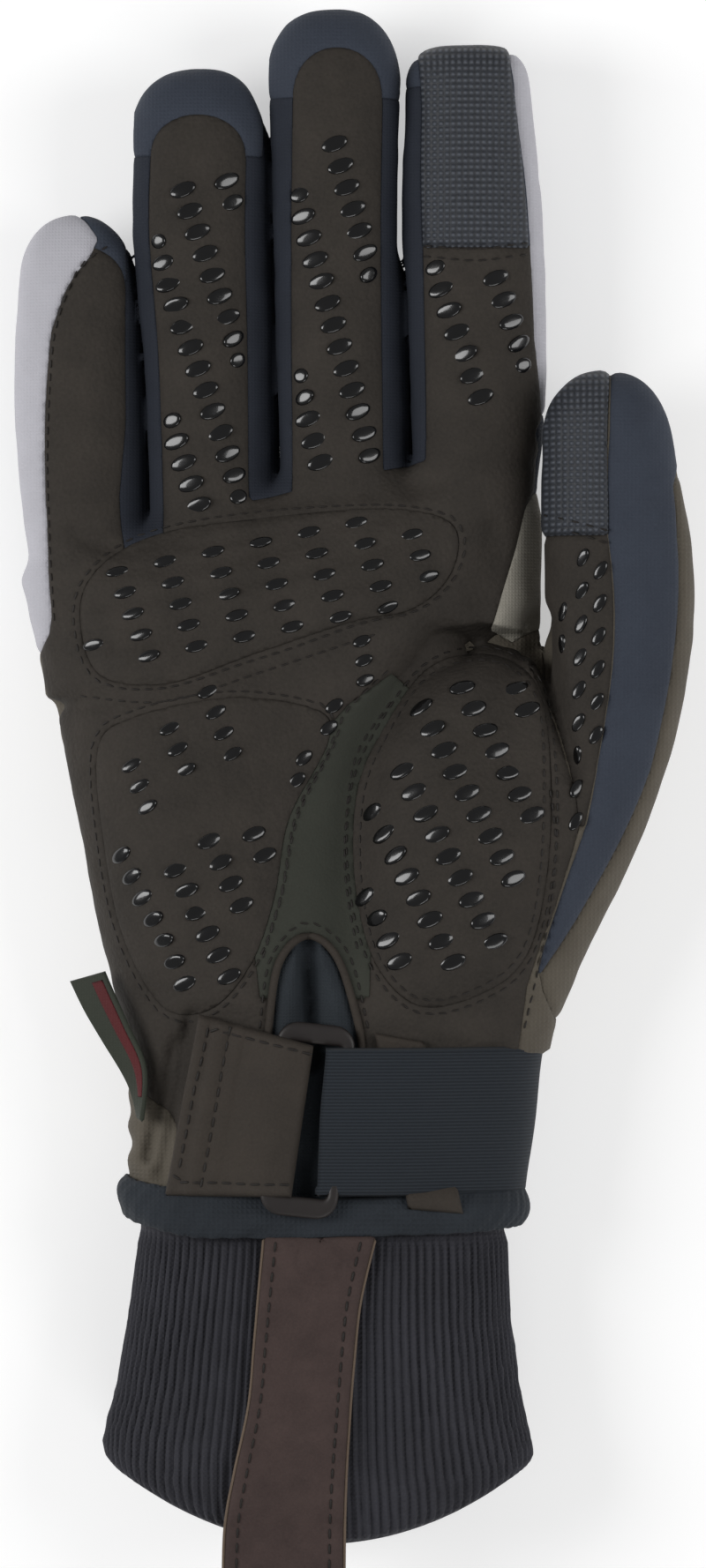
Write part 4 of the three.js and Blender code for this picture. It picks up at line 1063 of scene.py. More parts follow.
FINGERS = (LITTLE, RING, MIDDLE, INDEX)


@dataclass(frozen=True)
class PalmSection:
    """One section of the palm, as shares of the palm's length, width and depth."""

    along: float
    left: float
    right: float
    top: float
    under: float
    slope: float = 0.0
    bow: float = 0.0


@dataclass(frozen=True)
class Swell:
    """A broad swell or hollow of the palm, as shares of the palm's sizes."""

    across: float
    along: float
    wide: float
    long: float
    height: float


@dataclass(frozen=True)
class Crease:
    """A fold line on the palm: its route, how wide it opens and how deep it is at both ends."""

    line: tuple[tuple[float, float], ...]
    width: float
    depth: float
    end_depth: float

    def height(self, spots: Array) -> Array:
        """Return the fold's height at places seen from above, below zero in the fold."""
        path = curve_through(route(*self.line), False, 2.0)
        away = line_distance(spots, path)
        run = path[-1] - path[0]
        share = np.clip((spots - path[0]) @ run / (run @ run), 0.0, 1.0)
        depth = self.depth + (self.end_depth - self.depth) * share
        return -depth * np.exp(-((away / self.width) ** 2))


@dataclass
class Palm:
    """The palm from the wrist to the crotches of the fingers, with its pads and folds."""

    sections: tuple[PalmSection, ...] = (
        PalmSection(-0.1, -0.39, 0.374, 0.9, 0.02),
        PalmSection(0.0, -0.39, 0.374, 0.9, 0.02),
        PalmSection(0.142, -0.398, 0.396, 0.95, 0.01),
        PalmSection(0.194, -0.39, 0.407, 0.96, 0.0),
        PalmSection(0.269, -0.41, 0.43, 0.98, -0.05),
        PalmSection(0.358, -0.444, 0.455, 1.0, -0.08),
        PalmSection(0.43, -0.467, 0.468, 1.0, -0.08),
        PalmSection(0.493, -0.488, 0.47, 0.99, -0.08),
        PalmSection(0.56, -0.507, 0.46, 0.97, -0.08),
        PalmSection(0.627, -0.525, 0.445, 0.94, -0.07),
        PalmSection(0.69, -0.543, 0.43, 0.9, -0.06),
        PalmSection(0.75, -0.56, 0.418, 0.865, -0.04, 0.03, 0.005),
        PalmSection(0.836, -0.578, 0.418, 0.81, -0.01, 0.08, 0.02),
        PalmSection(0.91, -0.598, 0.418, 0.75, 0.03, 0.16, 0.045),
        PalmSection(0.955, -0.6, 0.415, 0.7, 0.05, 0.22, 0.065),
        PalmSection(1.0, -0.6, 0.415, 0.7, 0.05, 0.24, 0.075),
    )
    swells: tuple[Swell, ...] = (
        Swell(0.0, 0.58, 0.2, 0.2, -0.13),
        Swell(0.06, 0.4, 0.06, 0.16, -0.05),
        Swell(0.27, 0.5, 0.14, 0.15, 0.06),
        Swell(-0.27, 0.42, 0.14, 0.16, 0.03),
        Swell(-0.15, 0.85, 0.3, 0.06, 0.03),
        Swell(0.33, 0.9, 0.13, 0.13, -0.09),
    )
    ring_power: float = 2.6
    dome_start: float = 0.93
    wrist_lift: float = 2.6
    gather_depth: float = 0.4
    gather_pitch: float = 6.5
    creases: tuple[Crease, ...] = (
        Crease(((500, 742), (450, 790), (416, 852), (398, 940), (390, 1040)), 4.4, 5.2, 1.4),
        Crease(((604, 708), (570, 724), (532, 736)), 3.6, 0.6, 2.4),
        Crease(((560, 640), (540, 690), (500, 716)), 6.5, 0.9, 1.6),
        Crease(((612, 704), (620, 750), (632, 820), (650, 876)), 2.0, 4.4, 2.2),
        Crease(((86, 604), (150, 628), (230, 596)), 2.0, 0.9, 0.5),
        Crease(((250, 588), (330, 572), (420, 560)), 2.2, 0.6, 0.7),
        Crease(((470, 556), (540, 530), (600, 520)), 2.4, 0.8, 0.5),
        Crease(((540, 560), (548, 620), (540, 690)), 3.0, 0.5, 0.9),
        Crease(((76, 800), (180, 786), (330, 744), (450, 690)), 2.4, 0.8, 0.7),
        Crease(((150, 716), (280, 690), (430, 656)), 1.4, 0.35, 0.4),
        Crease(((120, 648), (240, 640), (360, 610)), 1.3, 0.35, 0.35),
        Crease(((349, 1064), (350, 1110), (353, 1160), (354, 1200)), 1.3, 2.8, 5.0),
        Crease(((338, 1084), (328, 1120), (324, 1170)), 1.8, -1.0, -1.0),
        Crease(((364, 1084), (378, 1120), (386, 1170)), 1.8, -1.0, -1.0),
        Crease(((110, 690), (240, 668), (380, 640), (470, 604)), 1.2, 0.4, 0.3),
        Crease(((130, 736), (260, 716), (380, 690)), 1.2, 0.4, 0.3),
        Crease(((210, 620), (330, 604), (440, 588)), 1.1, 0.4, 0.3),
        Crease(((560, 600), (566, 660), (548, 700)), 2.4, 0.9, 0.5),
        Crease(((218, 1150), (204, 1230), (184, 1330)), 1.3, 1.2, 1.0),
        Crease(((200, 1180), (184, 1250), (170, 1310)), 1.3, 0.9, 1.0),
        Crease(((470, 1150), (540, 1146), (600, 1130)), 3.0, 0.5, 0.8),
        Crease(((560, 1190), (574, 1150), (592, 1100)), 1.8, 0.6, 0.3),
    )
    pads: dict[str, tuple[Array, float]] = field(default_factory=dict)

    def __post_init__(self) -> None:
        """Work out the section columns, the pads' outlines and the fold lines."""
        self.table = {
            name: self.smoothed([getattr(s, name) for s in self.sections])
            for name in ("left", "right", "top", "under", "slope", "bow")
        }
        self.pads = {
            "knuckle_pad": (
                curve_through(
                    route((92, 690), (118, 640), (180, 606), (300, 588), (440, 578), (512, 596),
                          (512, 648), (470, 690), (400, 706), (290, 742), (190, 776), (112, 764)),
                    True, 1.5,
                ),
                0.6,
            ),
            "heel_pad": (
                curve_through(
                    route((112, 850), (150, 815), (260, 792), (360, 806), (372, 842), (328, 928),
                          (312, 1015), (286, 1090), (240, 1142), (186, 1140), (140, 1060), (118, 950)),
                    True, 1.5,
                ),
                0.6,
            ),
            "thumb_ball_pad": (
                curve_through(
                    route((432, 830), (487, 757), (560, 742), (610, 782), (622, 880), (618, 990),
                          (596, 1080), (550, 1122), (477, 1139), (425, 1090), (402, 1000), (404, 900)),
                    True, 1.5,
                ),
                1.5,
            ),
        }
        self.relief = HeightMap(self.broad_relief)
        self.folds = HeightMap(self.fine_relief)

    def smoothed(self, values: Sequence[float]) -> Array:
        """Return a section column sampled finely along the palm and smoothed."""
        along = np.linspace(-0.1, 1.1, 241)
        sampled = np.interp(along, [s.along for s in self.sections], values)
        kernel = np.exp(-0.5 * (np.arange(-20, 21) * 0.005 / 0.025) ** 2)
        return np.convolve(np.pad(sampled, 20, mode="edge"), kernel / kernel.sum(), mode="valid")

    def column(self, name: str, along: Array | float) -> Array:
        """Return a section column at a share of the palm's length."""
        return np.interp(along, np.linspace(-0.1, 1.1, 241), self.table[name])

    def at(self, along: Array | float) -> tuple[Array, Array, Array, Array]:
        """Return the centre's x and z and the half width and half depth at a share of the length."""
        left, right = (self.column(k, along) * PALM_WIDTH for k in ("left", "right"))
        top, under = (self.column(k, along) * PALM_DEPTH for k in ("top", "under"))
        return (left + right) / 2, (top + under) / 2, (right - left) / 2, (top - under) / 2

    def broad_relief(self, x: Array, y: Array) -> Array:
        """Return how far the palm's face stands out or dips at each place."""
        spots = np.column_stack([x, y])
        total = np.zeros(len(spots))
        for swell in self.swells:
            sideways = (x - swell.across * PALM_WIDTH) / (swell.wide * PALM_WIDTH)
            lengthways = (y - wrist_y() - swell.along * PALM_LENGTH) / (swell.long * PALM_LENGTH)
            total += swell.height * PALM_DEPTH * np.exp(-(sideways**2) - lengthways**2)
        return total

    def fine_relief(self, x: Array, y: Array) -> Array:
        """Return the height of the pads and the depth of the fold lines at each place."""
        spots = np.column_stack([x, y])
        total = np.zeros(len(spots))
        for outline, height in self.pads.values():
            depth = np.clip(-outline_distance(spots, outline), 0.0, None)
            total += height * (1.0 - np.exp(-depth / 4.5))
        for crease in self.creases:
            total += crease.height(spots)
        return total

    def floor(self, along: Array | float) -> Array:
        """Return where the palm's underside is flattened."""
        return self.wrist_lift * np.clip((0.27 - np.asarray(along)) / 0.07, 0.0, 1.0)

    def gathers(self, x: Array, y: Array, side: Array) -> Array:
        """Return the gathers of the cloth at the little-finger side of the wrist."""
        fade = np.exp(-(((y - wrist_y() - 0.09 * PALM_LENGTH) / (0.065 * PALM_LENGTH)) ** 2))
        wave = np.cos(2 * np.pi * (y + 0.25 * x) / self.gather_pitch)
        return self.gather_depth * np.clip(-side, 0.0, 1.0) ** 4 * fade * wave

    def distance(self, points: Array, plain: bool = False) -> Array:
        """Return a signed distance from the palm's surface at each point.

        Args:
            points: The points, (n, 3).
            plain: Whether the gathers are left out.

        Returns:
            The distances, negative inside.
        """
        x, y, z = points.T
        first = (y - wrist_y()) / PALM_LENGTH
        x0, _, wide, _ = self.at(first)
        sideways = np.clip((x - x0) / wide, -1.1, 1.1)
        skew = self.column("slope", first) * (x - x0)
        skew = skew - self.column("bow", first) * PALM_LENGTH * sideways**2
        along = first - skew / PALM_LENGTH
        x0, z0, wide, deep = self.at(along)
        side = (x - x0) / wide
        if not plain:
            wide = wide + self.gathers(x, y, side)
        ring = (
            np.abs((x - x0) / wide) ** self.ring_power + np.abs((z - z0) / deep) ** self.ring_power
        ) ** (1 / self.ring_power)
        tip = np.clip((along - self.dome_start) / (1.005 - self.dome_start), 0.0, None)
        whole = np.where(tip > 0, (ring**2.4 + tip**2.4) ** (1 / 2.4), ring)
        return (whole - 1.0) * np.minimum(wide, deep)

    def ring(self, y: float, grow: float, turns: Array) -> tuple[Array, Array]:
        """Return the points round the wrist at a distance from it, and the way out at each.

        Args:
            y: Where the ring lies along the glove.
            grow: Its distance from the palm.
            turns: The angles of its points, from the thumb's side over the palm's face.

        Returns:
            Points and outward directions, (n, 3) each.
        """
        along = (y - wrist_y()) / PALM_LENGTH
        x0, z0, wide, deep = (float(v) for v in self.at(along))
        power = 2.0 / self.ring_power
        cos, sin = np.cos(turns), np.sin(turns)
        x = x0 + (wide + grow) * np.sign(cos) * np.abs(cos) ** power
        z = z0 + (deep + grow) * np.sign(sin) * np.abs(sin) ** power
        face = np.sqrt(np.clip(sin, 0.0, None)) * self.relief(x, np.full_like(x, y))
        points = np.column_stack([x, np.full_like(x, y), z + face])
        around = np.roll(points, -1, axis=0) - np.roll(points, 1, axis=0)
        out = np.column_stack([around[:, 2], np.zeros(len(points)), -around[:, 0]])
        out[[0, -1]] = out[[1, -2]]
        out /= np.linalg.norm(out, axis=1)[:, None]
        facing = ((points - np.array([x0, y, z0])) * out).sum(axis=1)
        return points, out * np.sign(facing)[:, None]


@dataclass
class Hand:
    """The whole hand as one form: palm, four fingers and thumb."""

    palm: Palm = field(default_factory=Palm)
    crotch_reach: float = 4.0
    thumb_reach: float = 7.0
    web_reach: float = 1.0
    touching: tuple[float, ...] = (104.0, 128.0, 104.0)
    sway: float = 3.0
    wrinkle: float = 0.26
    deepest: float = 4.2

    def __post_init__(self) -> None:
        """Prepare the fine unevenness of the cloth."""
        self.broad = Ripple(11, 9.0)
        self.fine = Ripple(23, 3.6)

    def bisector(self, index: int, y: Array) -> Array:
        """Return the line between a finger and its next neighbour."""
        first, second = FINGERS[index], FINGERS[index + 1]
        x1, _, _, wide1, _ = first.at(first.share_at(y))
        x2, _, _, wide2, _ = second.at(second.share_at(y))
        return (x1 + wide1 + x2 - wide2) / 2

    def leaning(self, points: Array) -> Array:
        """Return the points moved aside where a finger's flank bulges into its neighbour's."""
        x, y, z = points.T
        moved = points.copy()
        for index, top in enumerate(self.touching):
            touching = 1.0 - smooth_step(y, top - 12.0, top)
            away = (x - self.bisector(index, y)) / 5.0
            moved[:, 0] -= self.sway * touching * np.exp(-(((z - 14.0) / 4.0) ** 2) - away**2)
        return moved

    def distance(self, points: Array, bare: bool = False) -> Array:
        """Return a signed distance from the hand's surface at each point.

        Args:
            points: The points, (n, 3).
            bare: Whether pads, folds and wrinkles are left out.

        Returns:
            The distances, negative inside.
        """
        x, y, z = points.T
        palm = self.palm.distance(points, bare)
        face = smooth_step(z, 12.0, 24.0)
        palm = palm - face * self.palm.relief(x, y)
        total = palm
        bent = self.leaning(points)
        for k, finger in enumerate(FINGERS):
            own = finger.distance(bent)
            if k < len(FINGERS) - 1:
                own = np.maximum(own, bent[:, 0] - self.bisector(k, y) + FINGER_GAP / 2)
            if k > 0:
                own = np.maximum(own, self.bisector(k - 1, y) + FINGER_GAP / 2 - bent[:, 0])
            total = np.minimum(total, smooth_min(own, palm, self.crotch_reach))
        thumb = THUMB.distance(points)
        reach = self.web_reach + (self.thumb_reach - self.web_reach) * smooth_step(-y, -36.0, -14.0)
        total = np.minimum(total, smooth_min(thumb, palm, reach))
        if not bare:
            near = np.abs(total) < 9.0
            spots = points[near]
            folds = np.maximum(self.palm.folds(spots[:, 0], spots[:, 1]), -self.deepest)
            folds *= smooth_step(spots[:, 2], 13.0, 17.0)
            folds += self.wrinkle * (0.7 * self.broad(spots) + 0.4 * self.fine(spots))
            total[near] -= folds
        along = (y - wrist_y()) / PALM_LENGTH
        return -smooth_min(-total, -(self.palm.floor(along) - z), 1.2)

    def thumb_side(self, points: Array) -> Array:
        """Return a value that is negative where the thumb is nearer than the rest of the hand."""
        other = np.minimum(self.palm.distance(points, True), INDEX.distance(points))
        return THUMB.distance(points) - other

    def skin(self) -> Skin:
        """Return the hand's surface, open at the wrist."""
        low = np.array([-61.0, wrist_y() - 3.0, -1.5])
        high = np.array([72.0, 149.5, 43.0])
        whole = net(self.distance, low, high, SKIN_STEP)
        _, hand = whole.split(whole.points[:, 1] - wrist_y())
        return hand

    def face(self, spots: Array) -> tuple[Array, Array]:
        """Return the points of the surface above places seen from above, and their directions."""
        low = np.full(len(spots), 8.0)
        high = np.full(len(spots), 46.0)
        heights = np.linspace(46.0, 8.0, 39)
        found = np.zeros(len(spots), dtype=bool)
        for height in heights:
            probe = np.column_stack([spots, np.full(len(spots), height)])
            inside = (self.distance(probe) < 0) & ~found
            low[inside] = height
            high[inside] = height + 1.0
            found |= inside
        for _ in range(12):
            middle = (low + high) / 2
            inside = self.distance(np.column_stack([spots, middle])) < 0
            low = np.where(inside, middle, low)
            high = np.where(inside, high, middle)
        points = np.column_stack([spots, (low + high) / 2])
        slope = gradient(self.distance, points)
        return points, slope / np.linalg.norm(slope, axis=1)[:, None]


# Panels


@dataclass(frozen=True)
class Panel:
    """One sewn panel: its outlines seen from above, how low it reaches, its finish and its edge."""

    name: str
    outlines: tuple[Array, ...]
    low: float
    finish: Finish
    raised: float = 0.0
    groove: float = 0.55
    groove_width: float = 1.7
    puff: float = 0.0
    padded: float | None = None
    thumb: bool | None = None
    extra: bool = False

    def region(self, points: Array, thumb_side: Array) -> Array:
        """Return how far each point lies outside the panel's region, negative inside.

        Args:
            points: The points, (n, 3).
            thumb_side: A value that is negative where a point belongs to the thumb.

        Returns:
            The distances.
        """
        spots = points[:, :2]
        flat = np.min([outline_distance(spots, outline) for outline in self.outlines], axis=0)
        flat = np.maximum(flat, self.low - points[:, 2])
        if self.thumb is None:
            return flat
        side = thumb_side if self.thumb else -thumb_side
        return np.maximum(flat, side - 2.0 * np.clip(24.0 - points[:, 1], 0.0, None))

    def build(self, skin: Skin) -> bpy.types.Object:
        """Make the panel from its part of the skin, with its edges turned in."""
        reach = 6.0
        away = skin.edge_distance(reach)
        turned = np.clip(1.0 - away / self.groove_width, 0.0, 1.0)
        swell = self.puff * (1.0 - (1.0 - away / reach) ** 2)
        offset = self.raised - (self.groove + self.raised * 0.5) * turned**2 + swell
        moved = Skin(skin.points + offset[:, None] * skin.normals, skin.normals, skin.triangles)
        points, triangles = moved.thick(SKIN_WALL + self.raised)
        piece = build_object("skin_" + self.name, points, [triangles], self.finish)
        if not self.extra:
            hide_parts(self.name)
        return piece


def side_strip(first: Limb, second: Limb, right: float, left: float, tops: tuple[float, float]) -> Array:
    """Return the outline of the strip between two fingers.

    Args:
        first: The finger on the little finger's side.
        second: The finger on the thumb's side.
        right: The strip's edge on the first finger, as a share of its half width.
        left: Its edge on the second finger.
        tops: The shares of the fingers' lengths where the strip ends.

    Returns:
        The outline's corners.
    """
    up = np.linspace(0.05, tops[0], 20)
    x, y, _, wide, _ = first.at(up)
    left_edge = np.column_stack([x + right * wide, y])
    down = np.linspace(tops[1], 0.05, 20)
    x, y2, _, wide, _ = second.at(down)
    right_edge = np.column_stack([x + left * wide, y2])
    seam = second.at(second.share_at(y[-1]))
    middle = seam[0] - seam[3] - FINGER_GAP / 2
    last = second.at(tops[1])
    corner = last[0] - last[3] - FINGER_GAP / 2
    bend = np.array([[middle, y[-1]], [corner, last[1]]])
    return np.vstack([left_edge, bend, right_edge])


@dataclass
class Shell:
    """The hand's sewn shell: every panel of leather and cloth, cut from one skin."""

    hand: Hand

    def palm_outline(self) -> Array:
        """Return the outline of the palm's leather below the fingers."""
        edges = (
            Edge(-0.03, -0.76, 1.2),
            Edge(0.12, -0.76, 1.2),
            Edge(0.2, -1.2, 0.93),
            Edge(0.3, -1.2, 0.91),
            Edge(0.38, -1.2, 0.95),
            Edge(0.45, -1.2, 1.2),
            Edge(0.765, -1.2, 1.2),
            Edge(0.79, -1.2, 0.82),
            Edge(0.85, -1.2, 0.867),
            Edge(0.907, -0.8, 0.926),
            Edge(0.985, -0.3, 0.975),
        )
        knots = [e.along for e in edges]
        places = np.linspace(knots[0], knots[-1], 60)
        palm = self.hand.palm
        x0, _, wide, _ = palm.at(places)
        slope = palm.column("slope", places)
        sides = []
        for name in ("left", "right"):
            share = np.interp(places, knots, [getattr(e, name) for e in edges])
            x = x0 + share * wide
            sides.append(np.column_stack([x, wrist_y() + places * PALM_LENGTH + slope * (x - x0)]))
        return np.vstack([sides[0], sides[1][::-1]])

    def panels(self) -> tuple[Panel, ...]:
        """Return the panels in the order in which they are cut."""
        fronts = (
            LITTLE.outline((Edge(0.0, -0.9, 0.7), Edge(0.4, -1.3, 0.71), Edge(0.56, -1.3, 0.86),
                            Edge(0.84, -1.3, 0.9)), 0.94),
            RING.outline((Edge(0.0, -0.7, 0.74), Edge(0.83, -0.68, 0.74)), 0.913),
            MIDDLE.outline((Edge(0.0, -0.76, 0.74), Edge(0.84, -0.62, 0.76)), 0.932),
            INDEX.outline((Edge(0.0, -0.72, 0.9), Edge(0.2, -0.72, 1.2), Edge(0.29, -0.72, 1.05),
                           Edge(0.36, -0.72, 0.86), Edge(0.39, -0.72, 1.3), Edge(0.66, -0.72, 0.9)), None),
        )
        far = 400.0
        knuckle = [wrist_y() + 0.87 * PALM_LENGTH + 0.2 * x for x in (-far, far)]
        arch = curve_through(
            route((296, 1376), (303, 1230), (307, 1159), (317, 1090), (348, 1058), (382, 1084),
                  (405, 1159), (418, 1230), (424, 1376)),
            False, 2.0,
        )
        strip = route((445, 765), (395, 800), (350, 850), (310, 930), (295, 1015), (290, 1080),
                      (296, 1130), (418, 1130), (420, 1060), (415, 1000), (415, 900), (440, 835), (468, 785))
        web = route((597, 576), (606, 560), (616, 556), (616, 712), (604, 716), (582, 728), (556, 716),
                    (570, 670), (585, 624))
        tape = 0.15
        return (
            Panel("index_touch_patch", (INDEX.outline((
                Edge(0.655, -0.72, 0.8), Edge(0.9, -0.76, 0.76), Edge(1.06, -0.9, 0.62))),),
                PALM_SEAM_HEIGHT, TOUCH, raised=0.45, thumb=False),
            Panel("index_grey_panel", (INDEX.outline((
                Edge(0.373, 0.97, 1.4), Edge(0.5, 0.84, 1.4), Edge(0.75, 0.8, 1.4),
                Edge(0.95, 0.74, 1.4), Edge(1.02, 0.6, 1.4))),),
                BACK_SEAM_HEIGHT, LIGHT_GREY, thumb=False),
            Panel("little_grey_panel", (LITTLE.outline((
                Edge(0.03, -1.9, -1.6), Edge(0.075, -1.9, -1.15), Edge(0.11, -1.9, -0.92),
                Edge(0.147, -1.7, -0.79), Edge(0.263, -1.6, -0.68),
                Edge(0.34, -1.5, -0.6), Edge(0.49, -1.4, -0.53), Edge(0.635, -1.4, -0.45),
                Edge(0.754, -1.4, -0.37), Edge(0.85, -1.4, -0.12), Edge(0.9, -1.4, 0.2),
                Edge(0.935, -1.4, 0.48), Edge(0.965, -1.4, 0.36), Edge(1.0, -1.4, 0.12),
                Edge(1.03, -1.4, -0.2))),),
                BACK_SEAM_HEIGHT, LIGHT_GREY),
            Panel("thumb_touch_patch", (THUMB.outline((
                Edge(0.755, -1.4, -0.15), Edge(0.85, -1.4, -0.08), Edge(0.96, -1.4, 0.0),
                Edge(1.06, -1.4, 0.1))),),
                THUMB_SEAM_HEIGHT, TOUCH, raised=0.45, thumb=True),
            Panel("thumb_front", (THUMB.outline((
                Edge(0.32, 0.2, 0.27), Edge(0.4, -0.12, 0.15), Edge(0.5, -0.63, 0.04),
                Edge(0.62, -1.4, -0.07), Edge(0.757, -1.4, -0.16))),),
                THUMB_SEAM_HEIGHT, LEATHER, thumb=True),
            Panel("thumb_side_panel", (THUMB.outline((
                Edge(0.1, 0.55, 0.6), Edge(0.155, 0.45, 0.7), Edge(0.245, 0.34, 0.75),
                Edge(0.34, 0.27, 0.8), Edge(0.4, 0.16, 0.83), Edge(0.5, 0.05, 0.79),
                Edge(0.62, -0.05, 0.79), Edge(0.755, -0.15, 0.83), Edge(0.85, -0.08, 0.93),
                Edge(0.9, 0.0, 1.4), Edge(1.06, 0.1, 1.4))),),
                THUMB_SIDE_HEIGHT, NAVY, puff=0.4, thumb=True),
            Panel("thumb_back_panel", (THUMB.outline((
                Edge(0.03, 1.1, 1.5), Edge(0.1, 0.5, 1.5), Edge(0.245, 0.3, 1.5),
                Edge(0.34, 0.18, 1.5), Edge(0.4, -0.14, 1.5), Edge(0.5, -0.65, 1.5),
                Edge(0.62, -1.03, 1.5), Edge(0.7, -1.07, 1.5), Edge(0.85, -1.1, 1.5),
                Edge(1.1, -1.4, 1.5))),),
                -5.0, BROWN_GREY, thumb=True),
            # The arch's gusset is painted darker than the navy: painted shade in the recess
            Panel("wrist_gusset", (arch,), PALM_SEAM_HEIGHT, GUSSET_PAINTED_SHADE, raised=-0.5, groove=0.5),
            *(
                Panel(name, (outline,), PALM_SEAM_HEIGHT, LEATHER, groove=0.14, groove_width=1.2,
                      padded=0.4)
                for name, (outline, _) in self.hand.palm.pads.items()
            ),
            Panel("palm_centre_strip", (strip,), PALM_SEAM_HEIGHT, STRIP_SUEDE, groove=0.25,
                  groove_width=1.2, extra=True),
            # The thumb's web is dressed in cloth painted pale: painted light
            Panel("thumb_web", (web,), BACK_SEAM_HEIGHT, WEB_CLOTH_PAINTED_LIGHT, groove=0.2, thumb=False, extra=True),
            Panel("palm_leather", (self.palm_outline(), *fronts), PALM_SEAM_HEIGHT, LEATHER,
                  groove=0.35, groove_width=1.3),
            # The strips between the fingers are dressed in navy painted darker: painted shade between the
            # fingers
            Panel("fourchette_little_ring", (
                side_strip(LITTLE, RING, 0.6, -0.58, (0.86, 0.84)),), BACK_SEAM_HEIGHT, NAVY_SIDE_PAINTED_SHADE,
                groove=tape),
            Panel("fourchette_ring_middle", (
                side_strip(RING, MIDDLE, 0.64, -0.5, (0.84, 0.85)),), BACK_SEAM_HEIGHT, NAVY_SIDE_PAINTED_SHADE,
                groove=tape),
            Panel("fourchette_middle_index", (
                side_strip(MIDDLE, INDEX, 0.64, -0.6, (0.85, 0.93)),), BACK_SEAM_HEIGHT, NAVY_SIDE_PAINTED_SHADE,
                groove=tape),
            Panel("finger_backs", (np.array([
                [-far, knuckle[0]], [far, knuckle[1]], [far, far], [-far, far]]),), -5.0, NAVY,
                groove=0.3),
            Panel("back_of_hand", (np.array([
                [-far, -far], [far, -far], [far, far], [-far, far]]),), -5.0, BROWN_GREY, groove=0.3),
        )

    def build(self) -> None:
        """Cut the skin into its panels and make each of them."""
        rest = self.hand.skin()
        LOG.info("skin: %d points", len(rest.points))
        for panel in self.panels():
            own, rest = rest.split(panel.region(rest.points, self.hand.thumb_side(rest.points)))
            panel.build(own)


# Grip drops and stitches


@dataclass(frozen=True)
class DropField:
    """An even field of grip drops, in the photograph's frame.

    It has an area, one drop's place and the steps from a drop to the ones below and beside it.
    """

    area: tuple[tuple[float, float], ...]
    first: tuple[float, float]
    down: tuple[float, float]
    right: tuple[float, float]
    tilt: float = 22.0
    length: float = 5.1
    width: float = 2.8

    def spots(self) -> Array:
        """Return the drops' places, seen from above."""
        steps = np.arange(-40, 41)
        i, j = (grid.ravel()[:, None] for grid in np.meshgrid(steps, steps))
        pixels = np.array(self.first) + i * np.array(self.down) + j * np.array(self.right)
        spots = route(*pixels)
        return spots[outline_distance(spots, route(*self.area)) < 0]


# The edges of the leather on a finger, as shares of its half width
LEATHER_EDGES = {"ring": (RING, -0.69, 0.74), "middle": (MIDDLE, -0.69, 0.75), "index": (INDEX, -0.72, 0.82)}


